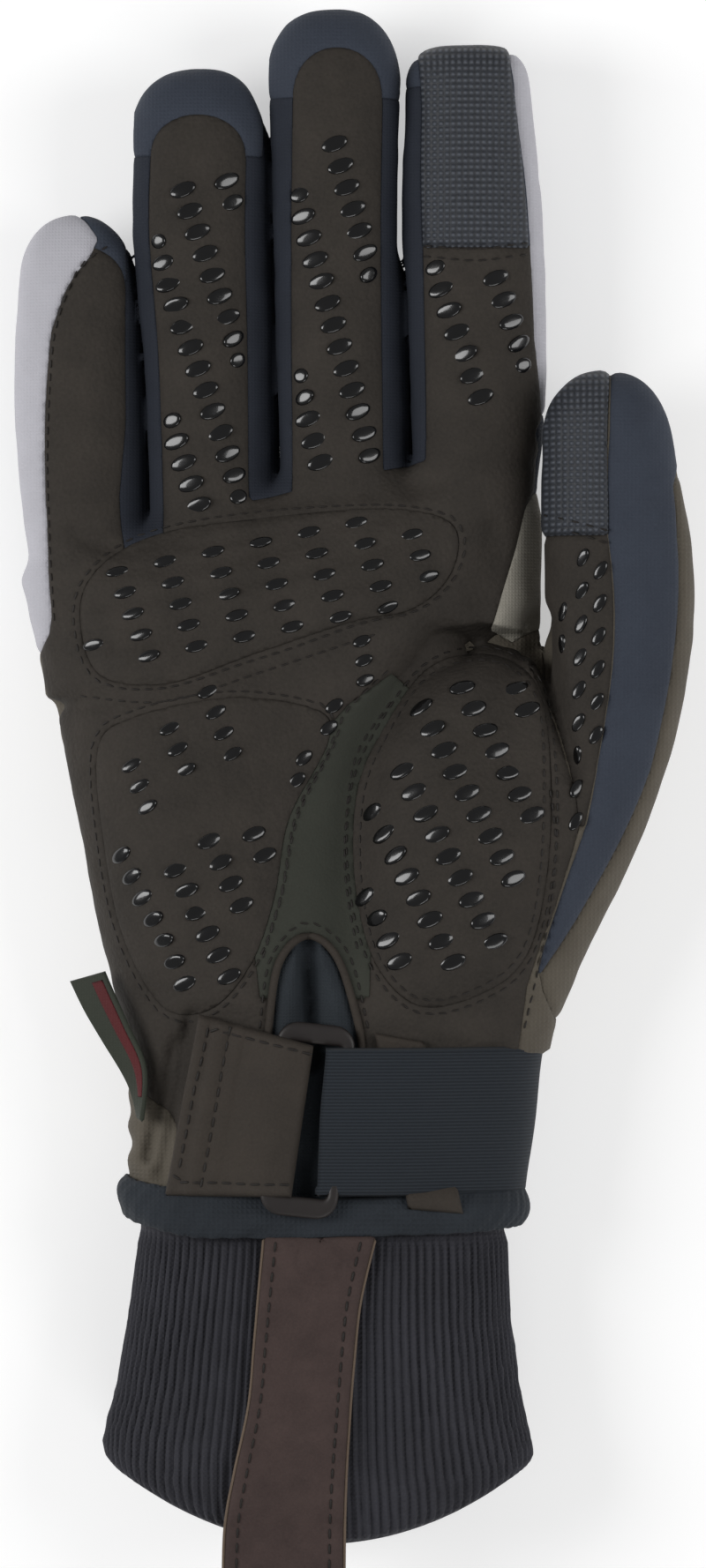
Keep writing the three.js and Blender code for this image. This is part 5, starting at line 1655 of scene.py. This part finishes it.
@dataclass
class GripDrops:
    """The raised silicone drops on the palm's leather."""

    hand: Hand
    height: float = 0.42
    unevenness: float = 0.11
    fields: dict[str, tuple[DropField, ...]] = field(
        default_factory=lambda: {
            "ring": (
                DropField(
                    ((168, 240), (184, 214), (268, 196), (286, 230), (290, 560), (262, 586), (204, 590),
                     (176, 500), (168, 330)),
                    (233, 290), (8.4, 24.0), (50.0, -10.0),
                ),
            ),
            "middle": (
                DropField(
                    ((320, 170), (340, 150), (428, 142), (444, 180), (446, 520), (422, 540), (352, 546),
                     (320, 480)),
                    (386, 191), (7.0, 24.5), (57.0, -8.0),
                ),
            ),
            "index": (
                DropField(
                    ((470, 300), (592, 298), (606, 330), (606, 450), (560, 468), (468, 472)),
                    (499, 330), (9.0, 24.4), (62.0, -12.0),
                ),
            ),
            "knuckles": (
                DropField(
                    ((102, 712), (128, 646), (185, 616), (300, 594), (498, 584), (506, 650), (462, 690),
                     (400, 700), (290, 730), (190, 762), (112, 754)),
                    (206, 686), (9.0, 24.0), (54.0, -11.0), 16.0, 4.4, 2.1,
                ),
            ),
            "palm": (
                DropField(((392, 715), (425, 715), (425, 780), (392, 780)), (410, 728), (2.0, 22.0),
                          (60.0, 0.0),
                          24.0, 3.6, 2.1),
                DropField(((360, 790), (390, 790), (390, 836), (360, 836)), (379, 801), (-6.0, 25.0),
                          (60.0, 0.0),
                          34.0, 3.8, 2.3),
                DropField(((328, 850), (352, 850), (352, 896), (328, 896)), (345, 860), (-8.0, 25.0),
                          (60.0, 0.0),
                          40.0, 3.8, 2.3),
            ),
            "heel": (
                DropField(
                    ((138, 952), (152, 940), (196, 986), (240, 952), (300, 906), (326, 880), (316, 960),
                     (296, 1020), (282, 1060), (266, 1112), (222, 1136), (190, 1128), (148, 1085),
                     (132, 1010)),
                    (225, 1033), (12.0, 24.0), (50.0, -8.0), 26.0, 4.8, 2.6,
                ),
                DropField(
                    ((138, 852), (150, 840), (190, 812), (240, 776), (272, 796), (276, 862), (214, 880),
                     (182, 926), (152, 918), (134, 884)),
                    (151, 868), (9.0, 23.5), (52.0, -18.0), 30.0, 4.2, 2.1,
                ),
            ),
            "thumb_ball": (
                DropField(
                    ((416, 930), (442, 850), (472, 790), (502, 758), (560, 752), (596, 782), (608, 870),
                     (604, 980), (582, 1056), (548, 1100), (480, 1108), (428, 1080), (410, 1010)),
                    (507, 970), (13.0, 24.0), (60.0, 1.0), 24.0,
                ),
            ),
            "thumb": (
                DropField(
                    ((640, 636), (684, 630), (683, 740), (674, 860), (656, 945), (640, 930), (652, 880),
                     (640, 800), (632, 720)),
                    (656, 709), (-1.0, 37.0), (20.0, 14.0), 58.0, 3.9, 2.0,
                ),
            ),
        }
    )

    def cut_at_edges(self, area: str, spots: Array, sizes: Array, tilts: Array) -> tuple[Array, Array, Array]:
        """Shorten the drops that reach past the leather of their finger, and leave out the rest.

        Args:
            area: The finger's name.
            spots: The drops' places, seen from above.
            sizes: Their half lengths, half widths and heights.
            tilts: The angles they are turned by.

        Returns:
            The places, sizes and angles of the drops that are left.
        """
        limb, left, right = LEATHER_EDGES[area]
        x, _, _, wide, _ = limb.at(limb.share_at(spots[:, 1]))
        reach = 0.93 * sizes[:, 0]
        low = np.maximum(spots[:, 0] - reach, x + left * wide + 0.5)
        high = np.minimum(spots[:, 0] + reach, x + right * wide - 0.5)
        kept = high - low > 1.15 * reach
        spots[:, 0] = (low + high) / 2
        sizes[:, 0] *= (high - low) / (2 * reach)
        return spots[kept], sizes[kept], tilts[kept]

    def build(self) -> None:
        """Lay each area's drops on the leather as one piece."""
        for area, fields in self.fields.items():
            groups = [drops.spots() for drops in fields]
            spots = np.vstack(groups)
            tilts = np.concatenate([np.full(len(g), f.tilt) for g, f in zip(groups, fields)])
            sizes = np.vstack(
                [np.tile([f.length / 2, f.width / 2, self.height], (len(g), 1)) for g,
                 f in zip(groups, fields)]
            )
            if area in LEATHER_EDGES:
                spots, sizes, tilts = self.cut_at_edges(area, spots, sizes, tilts)
            points, normals = self.hand.face(spots)
            normals += self.unevenness * np.random.default_rng(len(spots)).normal(size=normals.shape)
            normals /= np.linalg.norm(normals, axis=1)[:, None]
            headings = np.column_stack(
                [np.cos(np.radians(tilts)), np.sin(np.radians(tilts)), np.zeros(len(tilts))]
            )
            axes = frames_on(normals, headings)
            made, faces = copies(dome_template(), points, axes, sizes)
            build_object("grip_drops_" + area, made, [faces], SILICONE)


@dataclass
class Stitching:
    """The rows of thread along seams and pads."""

    hand: Hand
    length: float = 1.5
    gap: float = 0.95
    radius: float = 0.18

    def row(self, name: str, line: Array, closed: bool = False, lift: float = 0.05) -> None:
        """Sew one row of stitches along a line seen from above.

        Args:
            name: The piece's name.
            line: The line's points.
            closed: Whether the line runs back to its start.
            lift: How far the thread's middle stands above the surface.
        """
        path = curve_through(line, closed, self.length + self.gap)
        points, normals = self.hand.face(path)
        ahead = np.roll(points, -1, axis=0) - points
        if not closed:
            ahead[-1] = ahead[-2]
        axes = frames_on(normals, ahead)
        sizes = np.tile([self.length / 2, self.radius, self.radius], (len(points), 1))
        places = points + normals * lift
        made, faces = copies(stitch_template(), places, axes, sizes)
        build_object("stitches_" + name, made, [faces], THREAD)

    def build(self) -> None:
        """Sew the rows that show on the palm."""
        for name, (outline, _) in self.hand.palm.pads.items():
            few = outline[::3]
            centre = few.mean(axis=0)
            out = few - centre
            out /= np.linalg.norm(out, axis=1)[:, None]
            self.row(name + "_outer", few + 1.2 * out, True)
            if name == "thumb_ball_pad":
                self.row(name + "_inner", few - 1.4 * out, True)
        self.row("knuckle_lower", route((96, 790), (190, 796), (300, 762), (420, 722)))
        self.row("index_patch_low", route((484, 293), (540, 298), (592, 291)), lift=0.15)
        self.row("index_patch_high", route((486, 281), (540, 285), (592, 278)), lift=0.5)
        self.row("thumb_patch_low", route((619, 597), (650, 607), (682, 617)), lift=0.15)
        self.row("thumb_patch_high", route((620, 586), (650, 594), (682, 603)), lift=0.5)
        self.row("arch_rim", route((296, 1159), (308, 1084), (348, 1045), (394, 1078), (416, 1159)))
        self.row("little_seam", route((119, 283), (96, 300), (80, 326), (63, 378), (57, 440), (54, 520),
                                      (56, 598), (58, 640), (62, 700)))
        self.row("strip_left", route((436, 764), (392, 808), (378, 846), (338, 926), (320, 1014),
                                     (300, 1080)))
        self.row("strip_right", route((440, 800), (404, 856), (392, 930), (392, 1000), (404, 1070)))
        self.row("side_seam", route((622, 900), (628, 960), (622, 1030), (610, 1090), (594, 1160)))
        self.bind_arch()

    def bind_arch(self) -> None:
        """Lay the rolled edge of the leather round the arch over the wrist."""
        line = route((304, 1200), (306, 1159), (317, 1090), (348, 1059), (382, 1084), (406, 1159),
                     (410, 1200))
        path = curve_through(line, False, 0.8)
        points, normals = self.hand.face(path)
        made, faces = tube(points + 0.1 * normals, normals, 0.75, 0.7)
        build_object("arch_rolled_edge", made, [faces], TAB_LEATHER)


# Wrist strap


@dataclass
class WristStrap:
    """The leather tab, the moulded loop and the elastic that close the wrist."""

    hand: Hand
    tab_corners: tuple[tuple[float, float], ...] = ((228, 1147), (356, 1182), (331, 1352), (190, 1352))
    tab_thickness: float = 3.0
    keeper_corners: tuple[tuple[float, float], ...] = ((424, 1168), (480, 1178), (524, 1372), (462, 1366))
    elastic_left: tuple[tuple[float, float], ...] = ((367, 1185), (357, 1343))
    loop_centre: tuple[float, float] = (349, 1266)
    loop_width: float = 14.5
    loop_length: float = 36.0
    loop_bar: float = 2.0
    loop_end: float = 3.8
    loop_tilt: float = 6.3
    strap_height: float = 38.9

    def height(self, spots: Array) -> Array:
        """Return the height of the smooth wrist under places seen from above."""
        palm = self.hand.palm
        along = (spots[:, 1] - wrist_y()) / PALM_LENGTH
        x0, z0, wide, deep = palm.at(along)
        side = np.clip(np.abs((spots[:, 0] - x0) / wide), 0.0, 0.98)
        top = z0 + deep * (1 - side**palm.ring_power) ** (1 / palm.ring_power)
        return top + palm.relief(spots[:, 0], spots[:, 1])

    def build_tab(self) -> None:
        """Make the leather tab, folded double round the loop's bar."""
        rows, columns = 72, 64
        half = self.tab_thickness / 2
        spots = patch_between(self.tab_corners, rows, columns).reshape(-1, 2)
        base = self.height(spots)
        across_share = np.tile(np.linspace(0, 1, columns), rows)
        down_share = np.repeat(np.linspace(0, 1, rows), columns)
        rise = 1.7 + 1.9 * smooth_step(across_share, 0.35, 0.85)
        rise += 1.2 * smooth_step(down_share, 0.8, 1.0)
        bump = 0.35 * Ripple(5, 7.0)(np.column_stack([spots, base]))
        for place, height in ((0.035, 0.5), (0.2, 1.0), (0.36, 0.5)):
            ridge = np.exp(-(((across_share - place) / 0.045) ** 2))
            bump += height * ridge * (1.0 - 0.6 * down_share)
        middle = np.column_stack([spots, base + rise + bump]).reshape(rows, columns, 3)
        normals = sheet_normals(middle)
        points, faces = plump_sheet(middle, normals, half, 1.4)
        piece = build_object("strap_tab_folded", points, [faces], TAB_LEATHER)
        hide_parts("strap_tab")
        upper = middle + half * normals
        self.sew(upper, normals, "strap_tab", (0.08, 0.96), (0.065, 0.935))
        self.sew_line(upper, normals, "strap_tab_fold", 0.3)

    def sew(self, surface: Array, normals: Array, name: str, across: tuple[float, float],
            down: tuple[float, float]) -> None:
        """Sew a strip's top, left and lower edges, at shares of its width and length."""
        rows, columns = surface.shape[:2]
        i0, i1 = (int(share * (rows - 1)) for share in down)
        j0, j1 = (int(share * (columns - 1)) for share in across)
        loop = (
            [(i0, j) for j in range(j1, j0, -1)]
            + [(i, j0) for i in range(i0, i1)]
            + [(i1, j) for j in range(j0, j1)]
        )
        index = np.array(loop)
        self.lay(surface[index[:, 0], index[:, 1]], normals[index[:, 0], index[:, 1]], name, False)

    def sew_line(self, surface: Array, normals: Array, name: str, across: float) -> None:
        """Sew one row of stitches down a strip, at a share of its width."""
        column = int(across * (surface.shape[1] - 1))
        self.lay(surface[3:-3, column], normals[3:-3, column], name, False)

    def lay(self, line: Array, normals: Array, name: str, closed: bool) -> None:
        """Lay stitches along a line of points on a surface."""
        both = np.hstack([line, normals])
        path = curve_through(both[::3], closed, 2.8)
        points, out = path[:, :3], path[:, 3:]
        out = out / np.linalg.norm(out, axis=1)[:, None]
        ahead = np.roll(points, -1, axis=0) - points
        if not closed:
            ahead[-1] = ahead[-2]
        axes = frames_on(out, ahead)
        sizes = np.tile([0.95, 0.24, 0.24], (len(points), 1))
        made, faces = copies(stitch_template(), points + 0.03 * out, axes, sizes)
        build_object("stitches_" + name, made, [faces], THREAD)

    def build_elastic(self) -> None:
        """Make the elastic, from its fold at the loop round the thumb's side to under the back."""
        palm = self.hand.palm
        low, high = (v[1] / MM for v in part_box("strap_elastic"))
        rows = 40
        columns = 220
        left = np.array([from_photo(*p) for p in self.elastic_left])
        grid = np.empty((rows, columns, 3))
        normals = np.empty((rows, columns, 3))
        for i, y in enumerate(np.linspace(high - 0.3, low - 0.2, rows)):
            share = i / (rows - 1)
            start_x = left[0, 0] * (1 - share) + left[1, 0] * share
            points, out = palm.ring(y, 0.0, np.linspace(0.75 * np.pi, -0.72 * np.pi, 900))
            keep = (points[:, 0] > start_x) | (points[:, 2] < PALM_SEAM_HEIGHT)
            first = int(np.argmax(keep))
            points, out = points[first:], out[first:]
            lengths = np.concatenate([[0], np.cumsum(np.linalg.norm(np.diff(points, axis=0), axis=1))])
            places = np.linspace(0, lengths[-1], columns)
            line = np.column_stack([np.interp(places, lengths, points[:, k]) for k in range(3)])
            facing = np.column_stack([np.interp(places, lengths, out[:, k]) for k in range(3)])
            lift = 1.35 + 2.6 * (1 - smooth_step(places, 10.0, 30.0))
            sag = 0.25 * np.cos(2 * np.pi * share)
            line = line + (lift - sag)[:, None] * facing
            line[:, 2] = np.maximum(line[:, 2], 1.0)
            grid[i], normals[i] = line, facing
        normals /= np.linalg.norm(normals, axis=2)[:, :, None]
        points, faces = plump_sheet(grid, normals, 0.95, 0.9)
        piece = build_object("strap_elastic_woven", points, [faces], ELASTIC)
        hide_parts("strap_elastic")

    def build_loop(self) -> None:
        """Make the moulded loop as a long flat ring with wider ends."""
        corner = 4.0
        outer, inner = [], []
        for k, (sx, sy) in enumerate(((1, 1), (-1, 1), (-1, -1), (1, -1))):
            for turn in np.linspace(k, k + 1, 9) * math.pi / 2:
                round_x, round_y = math.cos(turn), math.sin(turn)
                outer.append((sx * (self.loop_width / 2 - corner) + corner * round_x,
                              sy * (self.loop_length / 2 - corner) + corner * round_y))
                inner.append((sx * (self.loop_width / 2 - self.loop_bar - 1.0) + round_x,
                              sy * (self.loop_length / 2 - self.loop_end - 1.0) + round_y))
        tilt = math.radians(-self.loop_tilt)
        spin = np.array([[math.cos(tilt), math.sin(tilt)], [-math.sin(tilt), math.cos(tilt)]])
        edge_out, edge_in = (
            np.array(edge) @ spin + np.array(from_photo(*self.loop_centre)) for edge in (outer, inner)
        )
        turns = 2 * np.pi * np.arange(14) / 14
        share = (1 + np.sign(np.cos(turns)) * np.abs(np.cos(turns)) ** 0.6) / 2
        deep = 0.85 * np.sign(np.sin(turns)) * np.abs(np.sin(turns)) ** 0.6
        flat = edge_in[:, None] + (edge_out - edge_in)[:, None] * share[None, :, None]
        height = np.broadcast_to(self.strap_height - 0.5 + deep[None, :, None], flat.shape[:2] + (1,))
        points = np.concatenate([flat, height], axis=2).reshape(-1, 3)
        number = np.arange(len(points)).reshape(len(outer), len(turns))
        after = np.roll(number, -1, axis=0)
        faces = np.stack([number, after, np.roll(after, -1, axis=1), np.roll(number, -1, axis=1)], axis=2)
        piece = build_object("strap_loop_moulded", points, [faces.reshape(-1, 4)], ACETAL)
        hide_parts("strap_loop")

    def build_keeper(self) -> None:
        """Make the leather patch that shows above and below the elastic."""
        rows, columns = 50, 16
        spots = patch_between(self.keeper_corners, rows, columns).reshape(-1, 2)
        lift = 0.9 + 2.7 * smooth_step(-spots[:, 1], 71.0, 75.5)
        middle = np.column_stack([spots, self.height(spots) + lift]).reshape(rows, columns, 3)
        normals = sheet_normals(middle)
        points, faces = plump_sheet(middle, normals, 0.5, 0.6)
        piece = build_object("strap_keeper_patch", points, [faces], TAB_LEATHER)
        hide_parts("strap_keeper")

    def build(self) -> None:
        """Make the whole strap."""
        self.build_tab()
        self.build_elastic()
        self.build_loop()
        self.build_keeper()


# Cuff, hem, pull strap and label


@dataclass(frozen=True)
class CuffSection:
    """One section of the cuff, as shares of its length, width and depth."""

    along: float
    left: float
    right: float
    top: float
    bow: float


@dataclass
class Cuff:
    """The rib-knit cuff and the rolled hem over its top."""

    hand: Hand
    width: float = 78.0
    depth: float = 36.0
    wall: float = 2.2
    ribs: int = 112
    rib_height: float = 1.3
    ring_power: float = 2.5
    sections: tuple[CuffSection, ...] = (
        CuffSection(0.0, -0.444, 0.425, 0.9, 0.0),
        CuffSection(0.14, -0.446, 0.427, 0.92, 0.0),
        CuffSection(0.35, -0.468, 0.434, 0.95, 0.01),
        CuffSection(0.6, -0.497, 0.455, 0.98, 0.05),
        CuffSection(0.75, -0.52, 0.472, 0.99, 0.09),
        CuffSection(0.88, -0.528, 0.487, 1.0, 0.16),
        CuffSection(0.95, -0.522, 0.488, 0.985, 0.19),
        CuffSection(0.985, -0.508, 0.478, 0.95, 0.2),
        CuffSection(1.0, -0.49, 0.462, 0.91, 0.2),
    )

    def __post_init__(self) -> None:
        """Take the cuff's length and place from the frame."""
        low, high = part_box("knit_cuff")
        self.top = high.y / MM
        self.length = (high.y - low.y) / MM

    def at(self, along: float) -> tuple[float, float, float, float, float]:
        """Return the section's centre, half sizes and bow at a share of the cuff's length."""
        knots = [s.along for s in self.sections]
        left, right, top, bow = (
            float(np.interp(along, knots, [getattr(s, k) for s in self.sections]))
            for k in ("left", "right", "top", "bow")
        )
        under = -0.04 * self.depth
        top *= self.depth
        return (left + right) / 2 * self.width, (top + under) / 2, (right - left) / 2 * self.width, (top - under) / 2, bow

    def ring(self, along: float, turns: Array, grow: Array | float) -> Array:
        """Return the points of one ring of the cuff."""
        x0, z0, wide, deep, bow = self.at(along)
        power = 2.0 / self.ring_power
        cos, sin = np.cos(turns), np.sin(turns)
        x = x0 + (wide + grow) * np.sign(cos) * np.abs(cos) ** power
        z = z0 + (deep + grow) * np.sign(sin) * np.abs(sin) ** power
        y = self.top - along * self.length + bow * self.length * ((x - x0) / wide) ** 2
        floor = 2.6 * max(0.0, 1 - along / 0.3)
        return np.column_stack([x, y, np.maximum(z, floor + 0.25 + 0.5 * np.asarray(grow))])

    def face(self, x: Array, y: Array) -> Array:
        """Return the height of the cuff's face at places seen from above."""
        heights = np.empty(len(x))
        for k, (px, py) in enumerate(zip(x, y)):
            along = min(max((self.top - py) / self.length, 0.0), 0.95)
            x0, z0, wide, deep, _ = self.at(along)
            side = min(abs((px - x0) / wide), 0.98)
            heights[k] = z0 + deep * (1 - side**self.ring_power) ** (1 / self.ring_power)
        return heights

    def build_knit(self) -> None:
        """Make the knit with a ridge for each rib, its rolled edge and its inside."""
        sides = self.ribs * 6
        turns = 2 * np.pi * np.arange(sides) / sides
        places = np.concatenate([np.linspace(0.0, 0.9, 44),
                                 1.0 - 0.1 * (1 - np.sin(np.linspace(0.1, 1.0, 12) * np.pi / 2))])
        lengths = self.arc(turns)
        ridge = np.abs(np.cos(np.pi * self.ribs * lengths)) ** 0.8
        noise = Ripple(31, 2.2)
        rings = []
        for along in places:
            strength = smooth_step(np.array(along), 0.08,
                                   0.13) * (1 - smooth_step(np.array(along), 0.985, 1.0))
            grow = self.rib_height * strength * (ridge - 0.5)
            ring = self.ring(float(along), turns, grow)
            swell = 0.12 * noise(ring) * (1 + float(along))
            rings.append(self.ring(float(along), turns, grow + swell))
        inner = []
        for along in places[::-3]:
            inner.append(self.ring(float(along) * 0.995, turns, -self.wall * np.ones(sides)))
        rings += inner
        points = np.vstack(rings)
        number = np.arange(len(points)).reshape(len(rings), sides)
        a, b = number[:-1], number[1:]
        faces = np.stack([a, b, np.roll(b, -1, axis=1), np.roll(a, -1, axis=1)], axis=2).reshape(-1, 4)
        closing = np.column_stack([number[-1], number[0], np.roll(number[0], -1), np.roll(number[-1], -1)])
        piece = build_object("knit_cuff_ribbed", points, [faces[:, ::-1], closing[:, ::-1]], KNIT)
        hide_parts("knit_cuff")

    def arc(self, turns: Array) -> Array:
        """Return the share of the way round the cuff at each angle, so that ribs are evenly spaced."""
        ring = self.ring(0.5, turns, 0.0)
        steps = np.linalg.norm(np.roll(ring, -1, axis=0) - ring, axis=1)
        return np.concatenate([[0.0], np.cumsum(steps)[:-1]]) / steps.sum()

    def build_hem(self) -> None:
        """Make the rolled hem: a soft roll round the wrist, twisted by its stitches."""
        low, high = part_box("hem_binding")
        middle_y = (low.y + high.y) / 2 / MM
        half = (high.y - low.y) / 2 / MM + 0.4
        turns = 2 * np.pi * np.arange(420) / 420
        base, out = self.hand.palm.ring(wrist_y(), 0.0, turns)
        drift = Ripple(47, 16.0)(base)
        slack = Ripple(53, 24.0)(base)
        rise = 3.2 * np.clip(-np.cos(turns), 0, 1) ** 6 + 1.4 * np.clip(np.cos(turns), 0, 1) ** 6
        rings = []
        for angle in np.linspace(0, 2 * np.pi, 33)[:-1]:
            twist = 0.1 * np.cos(40 * turns + 3 * angle + 6 * drift) + 0.3 * np.cos(3 * angle + 4 * slack)
            swell = 1.4 + (1.3 + 0.4 * drift + twist) * np.cos(angle) + 0.6 * slack
            ring = base + out * swell[:, None]
            ring[:, 1] = middle_y + (half + 0.8 * slack + twist) * np.sin(angle) + rise + 0.6 * drift
            ring[:, 2] = np.maximum(ring[:, 2], 0.15)
            rings.append(ring)
        points = np.vstack(rings)
        number = np.arange(len(points)).reshape(len(rings), len(turns))
        b = np.roll(number, -1, axis=0)
        faces = np.stack([number, np.roll(number, -1, axis=1), np.roll(b, -1, axis=1), b], axis=2)
        piece = build_object("hem_binding_rolled", points, [faces.reshape(-1, 4)], HEM)
        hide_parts("hem_binding")

    def build(self) -> None:
        """Make the cuff and its hem."""
        self.build_knit()
        self.build_hem()


@dataclass
class PullStrap:
    """The suede strap for pulling the glove on, laid down the cuff."""

    cuff: Cuff
    left: tuple[tuple[float, float], ...] = ((301, 1396), (295, 1460), (290, 1519), (284, 1586),
                                             (268, 1661), (257, 1723), (255, 1800))
    right: tuple[tuple[float, float], ...] = ((425, 1396), (414, 1440), (406, 1480), (401, 1530),
                                              (396, 1591), (391, 1680), (389, 1800))
    half: float = 0.95

    def build(self) -> None:
        """Make the strap, its piped edges, its press mark and its stitches."""
        rows, columns = 130, 44
        left = curve_through(route(*self.left), False, 0.4)
        right = curve_through(route(*self.right), False, 0.4)
        ys = np.linspace(left[0, 1], left[-1, 1], rows)
        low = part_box("pull_strap")[0].y / MM
        ys = left[0, 1] + (ys - left[0, 1]) * (left[0, 1] - low) / (left[0, 1] - left[-1, 1])
        lx = np.interp(-ys, -left[:, 1], left[:, 0])
        rx = np.interp(-ys, -right[:, 1], right[:, 0])
        u = np.linspace(0, 1, columns)
        x = lx[:, None] * (1 - u) + rx[:, None] * u
        y = np.repeat(ys[:, None], columns, axis=1)
        centre = self.cuff.face((lx + rx) / 2, ys)
        base = np.maximum(self.cuff.face(x.ravel(), y.ravel()).reshape(rows, columns), centre[:, None] - 0.4)
        edge = self.cuff.top - self.cuff.length
        droop = 0.012 * np.clip(edge - y, 0, None) ** 2
        spots = np.column_stack([x.ravel(), y.ravel(), 0 * x.ravel()])
        bump = 0.25 * Ripple(61, 8.0)(spots).reshape(rows, columns)
        start = smooth_step(y, ys[0] - 9.0, ys[0])
        piping = 0.35 * np.exp(-((np.minimum(u, 1 - u) * 18.0 - 1.0) / 0.55) ** 2)[None, :]
        mark = np.array(from_photo(363, 1424))
        away = np.hypot(x - mark[0], y - mark[1])
        hole = np.array(from_photo(364, 1402))
        punched = np.hypot(x - hole[0], y - hole[1])
        press = -0.35 * np.exp(-(((away - 4.3) / 0.5) ** 2)) - 0.2 * (away < 4.0)
        press -= 1.2 * np.exp(-((punched / 0.6) ** 2))
        z = base + 1.55 + bump - droop + piping + press + 0.6 * start
        middle = np.stack([x, y, z], axis=2)
        normals = sheet_normals(middle)
        points, faces = plump_sheet(middle, normals, self.half, 0.8)
        piece = build_object("pull_strap_suede", points, [faces], PULL_SUEDE)
        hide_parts("pull_strap")
        upper = middle + self.half * normals
        for name, column in (("left", 0), ("right", columns - 1)):
            made, faces = tube(middle[1:-1, column], normals[1:-1, column], 0.4, 0.8)
            build_object("pull_strap_edge_" + name, made, [faces], PULL_EDGE)
        strap = WristStrap(self.cuff.hand)
        for name, share in (("left", 0.1), ("right", 0.9)):
            column = int(share * (columns - 1))
            strap.lay(upper[4:-2, column], normals[4:-2, column], "pull_strap_" + name, False)


@dataclass
class SideLabel:
    """The bare woven label, folded once and sewn in the side seam."""

    outline: tuple[tuple[float, float], ...] = ((80, 1112), (97, 1146), (117, 1179), (147, 1228), (159, 1267))
    other: tuple[tuple[float, float], ...] = ((121, 1100), (128, 1116), (148, 1160), (168, 1209), (163, 1269))

    def build(self) -> None:
        """Make the label's cloth and its stripe."""
        rows, columns = 60, 24
        left = curve_through(route(*self.outline), False, 0.3)
        right = curve_through(route(*self.other), False, 0.3)
        share = np.linspace(0, 1, rows)
        a, b = (
            np.column_stack([
                np.interp(share * (len(line) - 1), np.arange(len(line)), line[:, k]) for k in range(2)
            ])
            for line in (left, right)
        )
        u = np.linspace(0, 1, columns)[None, :, None]
        flat = a[:, None, :] * (1 - u) + b[:, None, :] * u
        z = 26.5 + 5.5 * share[:, None] ** 0.8 + 4.5 * (u[:, :, 0] - 0.5) + 0.5 * np.sin(6 * share)[:, None]
        middle = np.concatenate([flat, z[:, :, None]], axis=2)
        normals = sheet_normals(middle)
        points, faces = plump_sheet(middle, normals, 0.45, 0.35)
        piece = build_object("side_label_woven", points, [faces], LABEL)
        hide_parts("side_label")
        stripe = (middle + 0.47 * normals)[3:-9, 13:21]
        points, faces = plump_sheet(stripe, normals[3:-9, 13:21], 0.08, 0.3)
        build_object("side_label_stripe", points, [faces], LABEL_RED)


# Studio


@dataclass
class Studio:
    """A pale table, soft lights and the camera above the glove."""

    camera_height: float = 1600.0
    glove_height: float = 20.0
    sensor: float = 36.0

    def build(self) -> None:
        """Set up the floor, the lights, the world and the camera."""
        self.build_floor()
        self.add_light("softbox_left", (-640, 80, 540), (0, 0, 20), 4.5, (350, 600))
        self.add_light("softbox_right", (640, 80, 540), (0, 0, 20), 2.9, (350, 600))
        self.add_light("softbox_front", (220, -760, 480), (0, 0, 20), 1.4, (500, 300))
        world = bpy.data.worlds.new("studio_world")
        bpy.context.scene.world = world
        world.use_nodes = True
        backdrop = world.node_tree.nodes["Background"]
        backdrop.inputs["Color"].default_value = (1.0, 1.0, 1.0, 1.0)
        backdrop.inputs["Strength"].default_value = 0.22
        bpy.context.scene.view_settings.view_transform = "Standard"
        self.add_camera()

    def build_floor(self) -> None:
        """Make the table top."""
        half = 3.0
        mesh = bpy.data.meshes.new("table_top")
        corners = [(-half, -half, 0), (half, -half, 0), (half, half, 0), (-half, half, 0)]
        mesh.from_pydata(corners, [], [(0, 1, 2, 3)])
        made = bpy.data.materials.new("matt_paper_white")
        made.use_nodes = True
        shader = made.node_tree.nodes["Principled BSDF"]
        shader.inputs["Base Color"].default_value = linear("#d8d8d8")
        shader.inputs["Roughness"].default_value = 0.9
        shader.inputs["Emission Color"].default_value = linear("#ffffff")
        shader.inputs["Emission Strength"].default_value = 0.45
        mesh.materials.append(made)
        floor = bpy.data.objects.new("table_top", mesh)
        bpy.context.scene.collection.objects.link(floor)

    def add_light(self, name: str, place: tuple[float, float, float], aim: tuple[float, float, float],
                  power: float, size: tuple[float, float]) -> None:
        """Hang a rectangular soft light, in millimetres, aimed at a point."""
        light = bpy.data.lights.new(name, "AREA")
        light.shape = "RECTANGLE"
        light.size, light.size_y = size[0] * MM, size[1] * MM
        light.energy = power
        lamp = bpy.data.objects.new(name, light)
        lamp.location = Vector(place) * MM
        lamp.rotation_euler = (Vector(aim) - Vector(place)).to_track_quat("-Z", "Y").to_euler()
        bpy.context.scene.collection.objects.link(lamp)

    def add_camera(self) -> None:
        """Put the camera straight above the glove, framed as the photograph."""
        camera = bpy.data.cameras.new("camera")
        camera.sensor_fit = "VERTICAL"
        camera.sensor_height = self.sensor
        distance = self.camera_height - self.glove_height
        camera.lens = self.sensor * distance / (PHOTO_HEIGHT * MM_PER_PIXEL)
        seat = bpy.data.objects.new("camera", camera)
        x, y = from_photo(PHOTO_WIDTH / 2, PHOTO_HEIGHT / 2)
        seat.location = Vector((x, y, self.camera_height)) * MM
        bpy.context.scene.collection.objects.link(seat)
        bpy.context.scene.camera = seat


def main() -> None:
    """Build the glove's looks in order."""
    logging.basicConfig(level=logging.INFO, format="%(name)s %(message)s")
    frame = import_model()
    LOG.info("frame with %d nodes", len(frame["nodes"]))
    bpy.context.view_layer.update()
    hand = Hand()
    cuff = Cuff(hand)
    Shell(hand).build()
    GripDrops(hand).build()
    Stitching(hand).build()
    WristStrap(hand).build()
    cuff.build()
    PullStrap(cuff).build()
    SideLabel().build()
    Studio().build()


if __name__ == "__main__":
    main()
